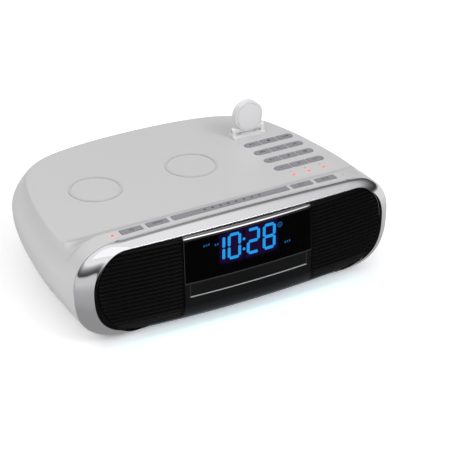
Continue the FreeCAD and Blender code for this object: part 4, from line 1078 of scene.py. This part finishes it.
def light_room():
    """Studio room. Above the horizon a dark band brightens upwards, with a bright strip in front. Below it
    the room is pale all round but dark to the front right, which the glossy front reflects."""
    world = bpy.data.worlds.new("studio")
    bpy.context.scene.world = world
    world.use_nodes = True
    tree = world.node_tree
    back_light = tree.nodes["Background"]
    coords = tree.nodes.new("ShaderNodeTexCoord")
    split = tree.nodes.new("ShaderNodeSeparateXYZ")
    tree.links.new(coords.outputs["Generated"], split.inputs["Vector"])
    across, deep, up = (split.outputs[axis] for axis in "XYZ")

    def times(first, second):
        return math_node(tree, "MULTIPLY", first, second)

    def plus(first, second):
        return math_node(tree, "ADD", first, second)

    sky = times(ramp_from(tree, SKY_BY_HEIGHT, up), ramp_from(tree, SKY_BY_SIDE, across))
    facing = plus(times(across, 0.45), times(deep, -0.65))
    below = times(ramp_from(tree, DARK_CORNER, facing), ramp_from(tree, BELOW_BY_SIDE, across))
    below = times(below, ramp_from(tree, BELOW_BY_HEIGHT, plus(up, 1.0)))
    is_up = ramp_from(tree, [(0.0, 0.0), (0.02, 1.0)], plus(up, 0.01))
    strip_light = times(ramp_from(tree, STRIP_BY_HEIGHT, up), ramp_from(tree, STRIP_BY_SIDE, across))
    strip_light = times(strip_light, ramp_from(tree, STRIP_BY_DEPTH, times(deep, -1.0)))
    level = plus(times(sky, is_up), times(below, math_node(tree, "SUBTRACT", 1.0, is_up)))
    level = plus(level, times(strip_light, STRIP_POWER))
    back_light.inputs["Color"].default_value = (1, 1, 1, 1)
    tree.links.new(level, back_light.inputs["Strength"])
    area("top_light", (-0.2, -0.1, 2.2), (0, 0.05, 0), 2.2, 2.2, 4)
    area("left_light", (-1.7, -1.1, 0.9), (0, 0, 0.05), 1.2, 1.0, 8).visible_glossy = False


def light_object():
    """The cyan light that falls on the table under the front, and a red spill over each lamp."""
    area("glow_spill", spot(0.0, 4.0, 8.0), spot(0.0, -30.0, -14.0), 0.22, 0.006, 0.003, (0.35, 0.80, 1.0))
    over_table, table = spot(0.0, -14.0, 26.0), spot(0.0, -14.1, 0.0)
    wash = area("glow_wash", over_table, table, 0.26, 0.05, 0.03, (0.30, 0.85, 1.0))
    wash.visible_glossy = False
    wash.visible_camera = False
    for across, deep, top in LIGHTS:
        spill = bpy.data.lights.new("lamp_spill", "POINT")
        spill.energy = 0.00012
        spill.color = (1.0, 0.15, 0.08)
        spill.shadow_soft_size = 0.0012
        spill_item = bpy.data.objects.new("lamp_spill", spill)
        spill_item.location = spot(across, deep, top + 2.8)
        spill_item.visible_glossy = False
        bpy.context.scene.collection.objects.link(spill_item)


def place_camera():
    """Camera to the left of and above the front, looking at the middle of the brow."""
    lens = bpy.data.cameras.new("camera")
    camera = bpy.data.objects.new("camera", lens)
    bpy.context.scene.collection.objects.link(camera)
    yaw, pitch, distance = math.radians(29.5), math.radians(28.5), 1.6347
    ahead = Vector((math.sin(yaw) * math.cos(pitch), math.cos(yaw) * math.cos(pitch), -math.sin(pitch)))
    camera.location = Vector(spot(-27.0, 0.0, BROW)) - ahead * distance
    camera.rotation_mode = "QUATERNION"
    camera.rotation_quaternion = ahead.to_track_quat("-Z", "Y")
    lens.sensor_width = 36.0
    lens.lens = 140.28
    bpy.context.scene.camera = camera
    bpy.context.scene.view_settings.view_transform = "Standard"


build_cabinet()
build_collar()
build_grille(-1, "grille_left")
build_grille(1, "grille_right")
plate("lens_window", 52.2, 100.55, HALF, LENS, "cabinet", ["display_lens"], 0.3)
build_fascia()
plate("door_panel", 37.7, 50.9, 63.5, CHARCOAL, "drawer", ["tray_door"], 0.45, rows=10)
build_keys()
build_lamp_signs()
build_clock()
build_floor()
light_room()
light_object()
place_camera()
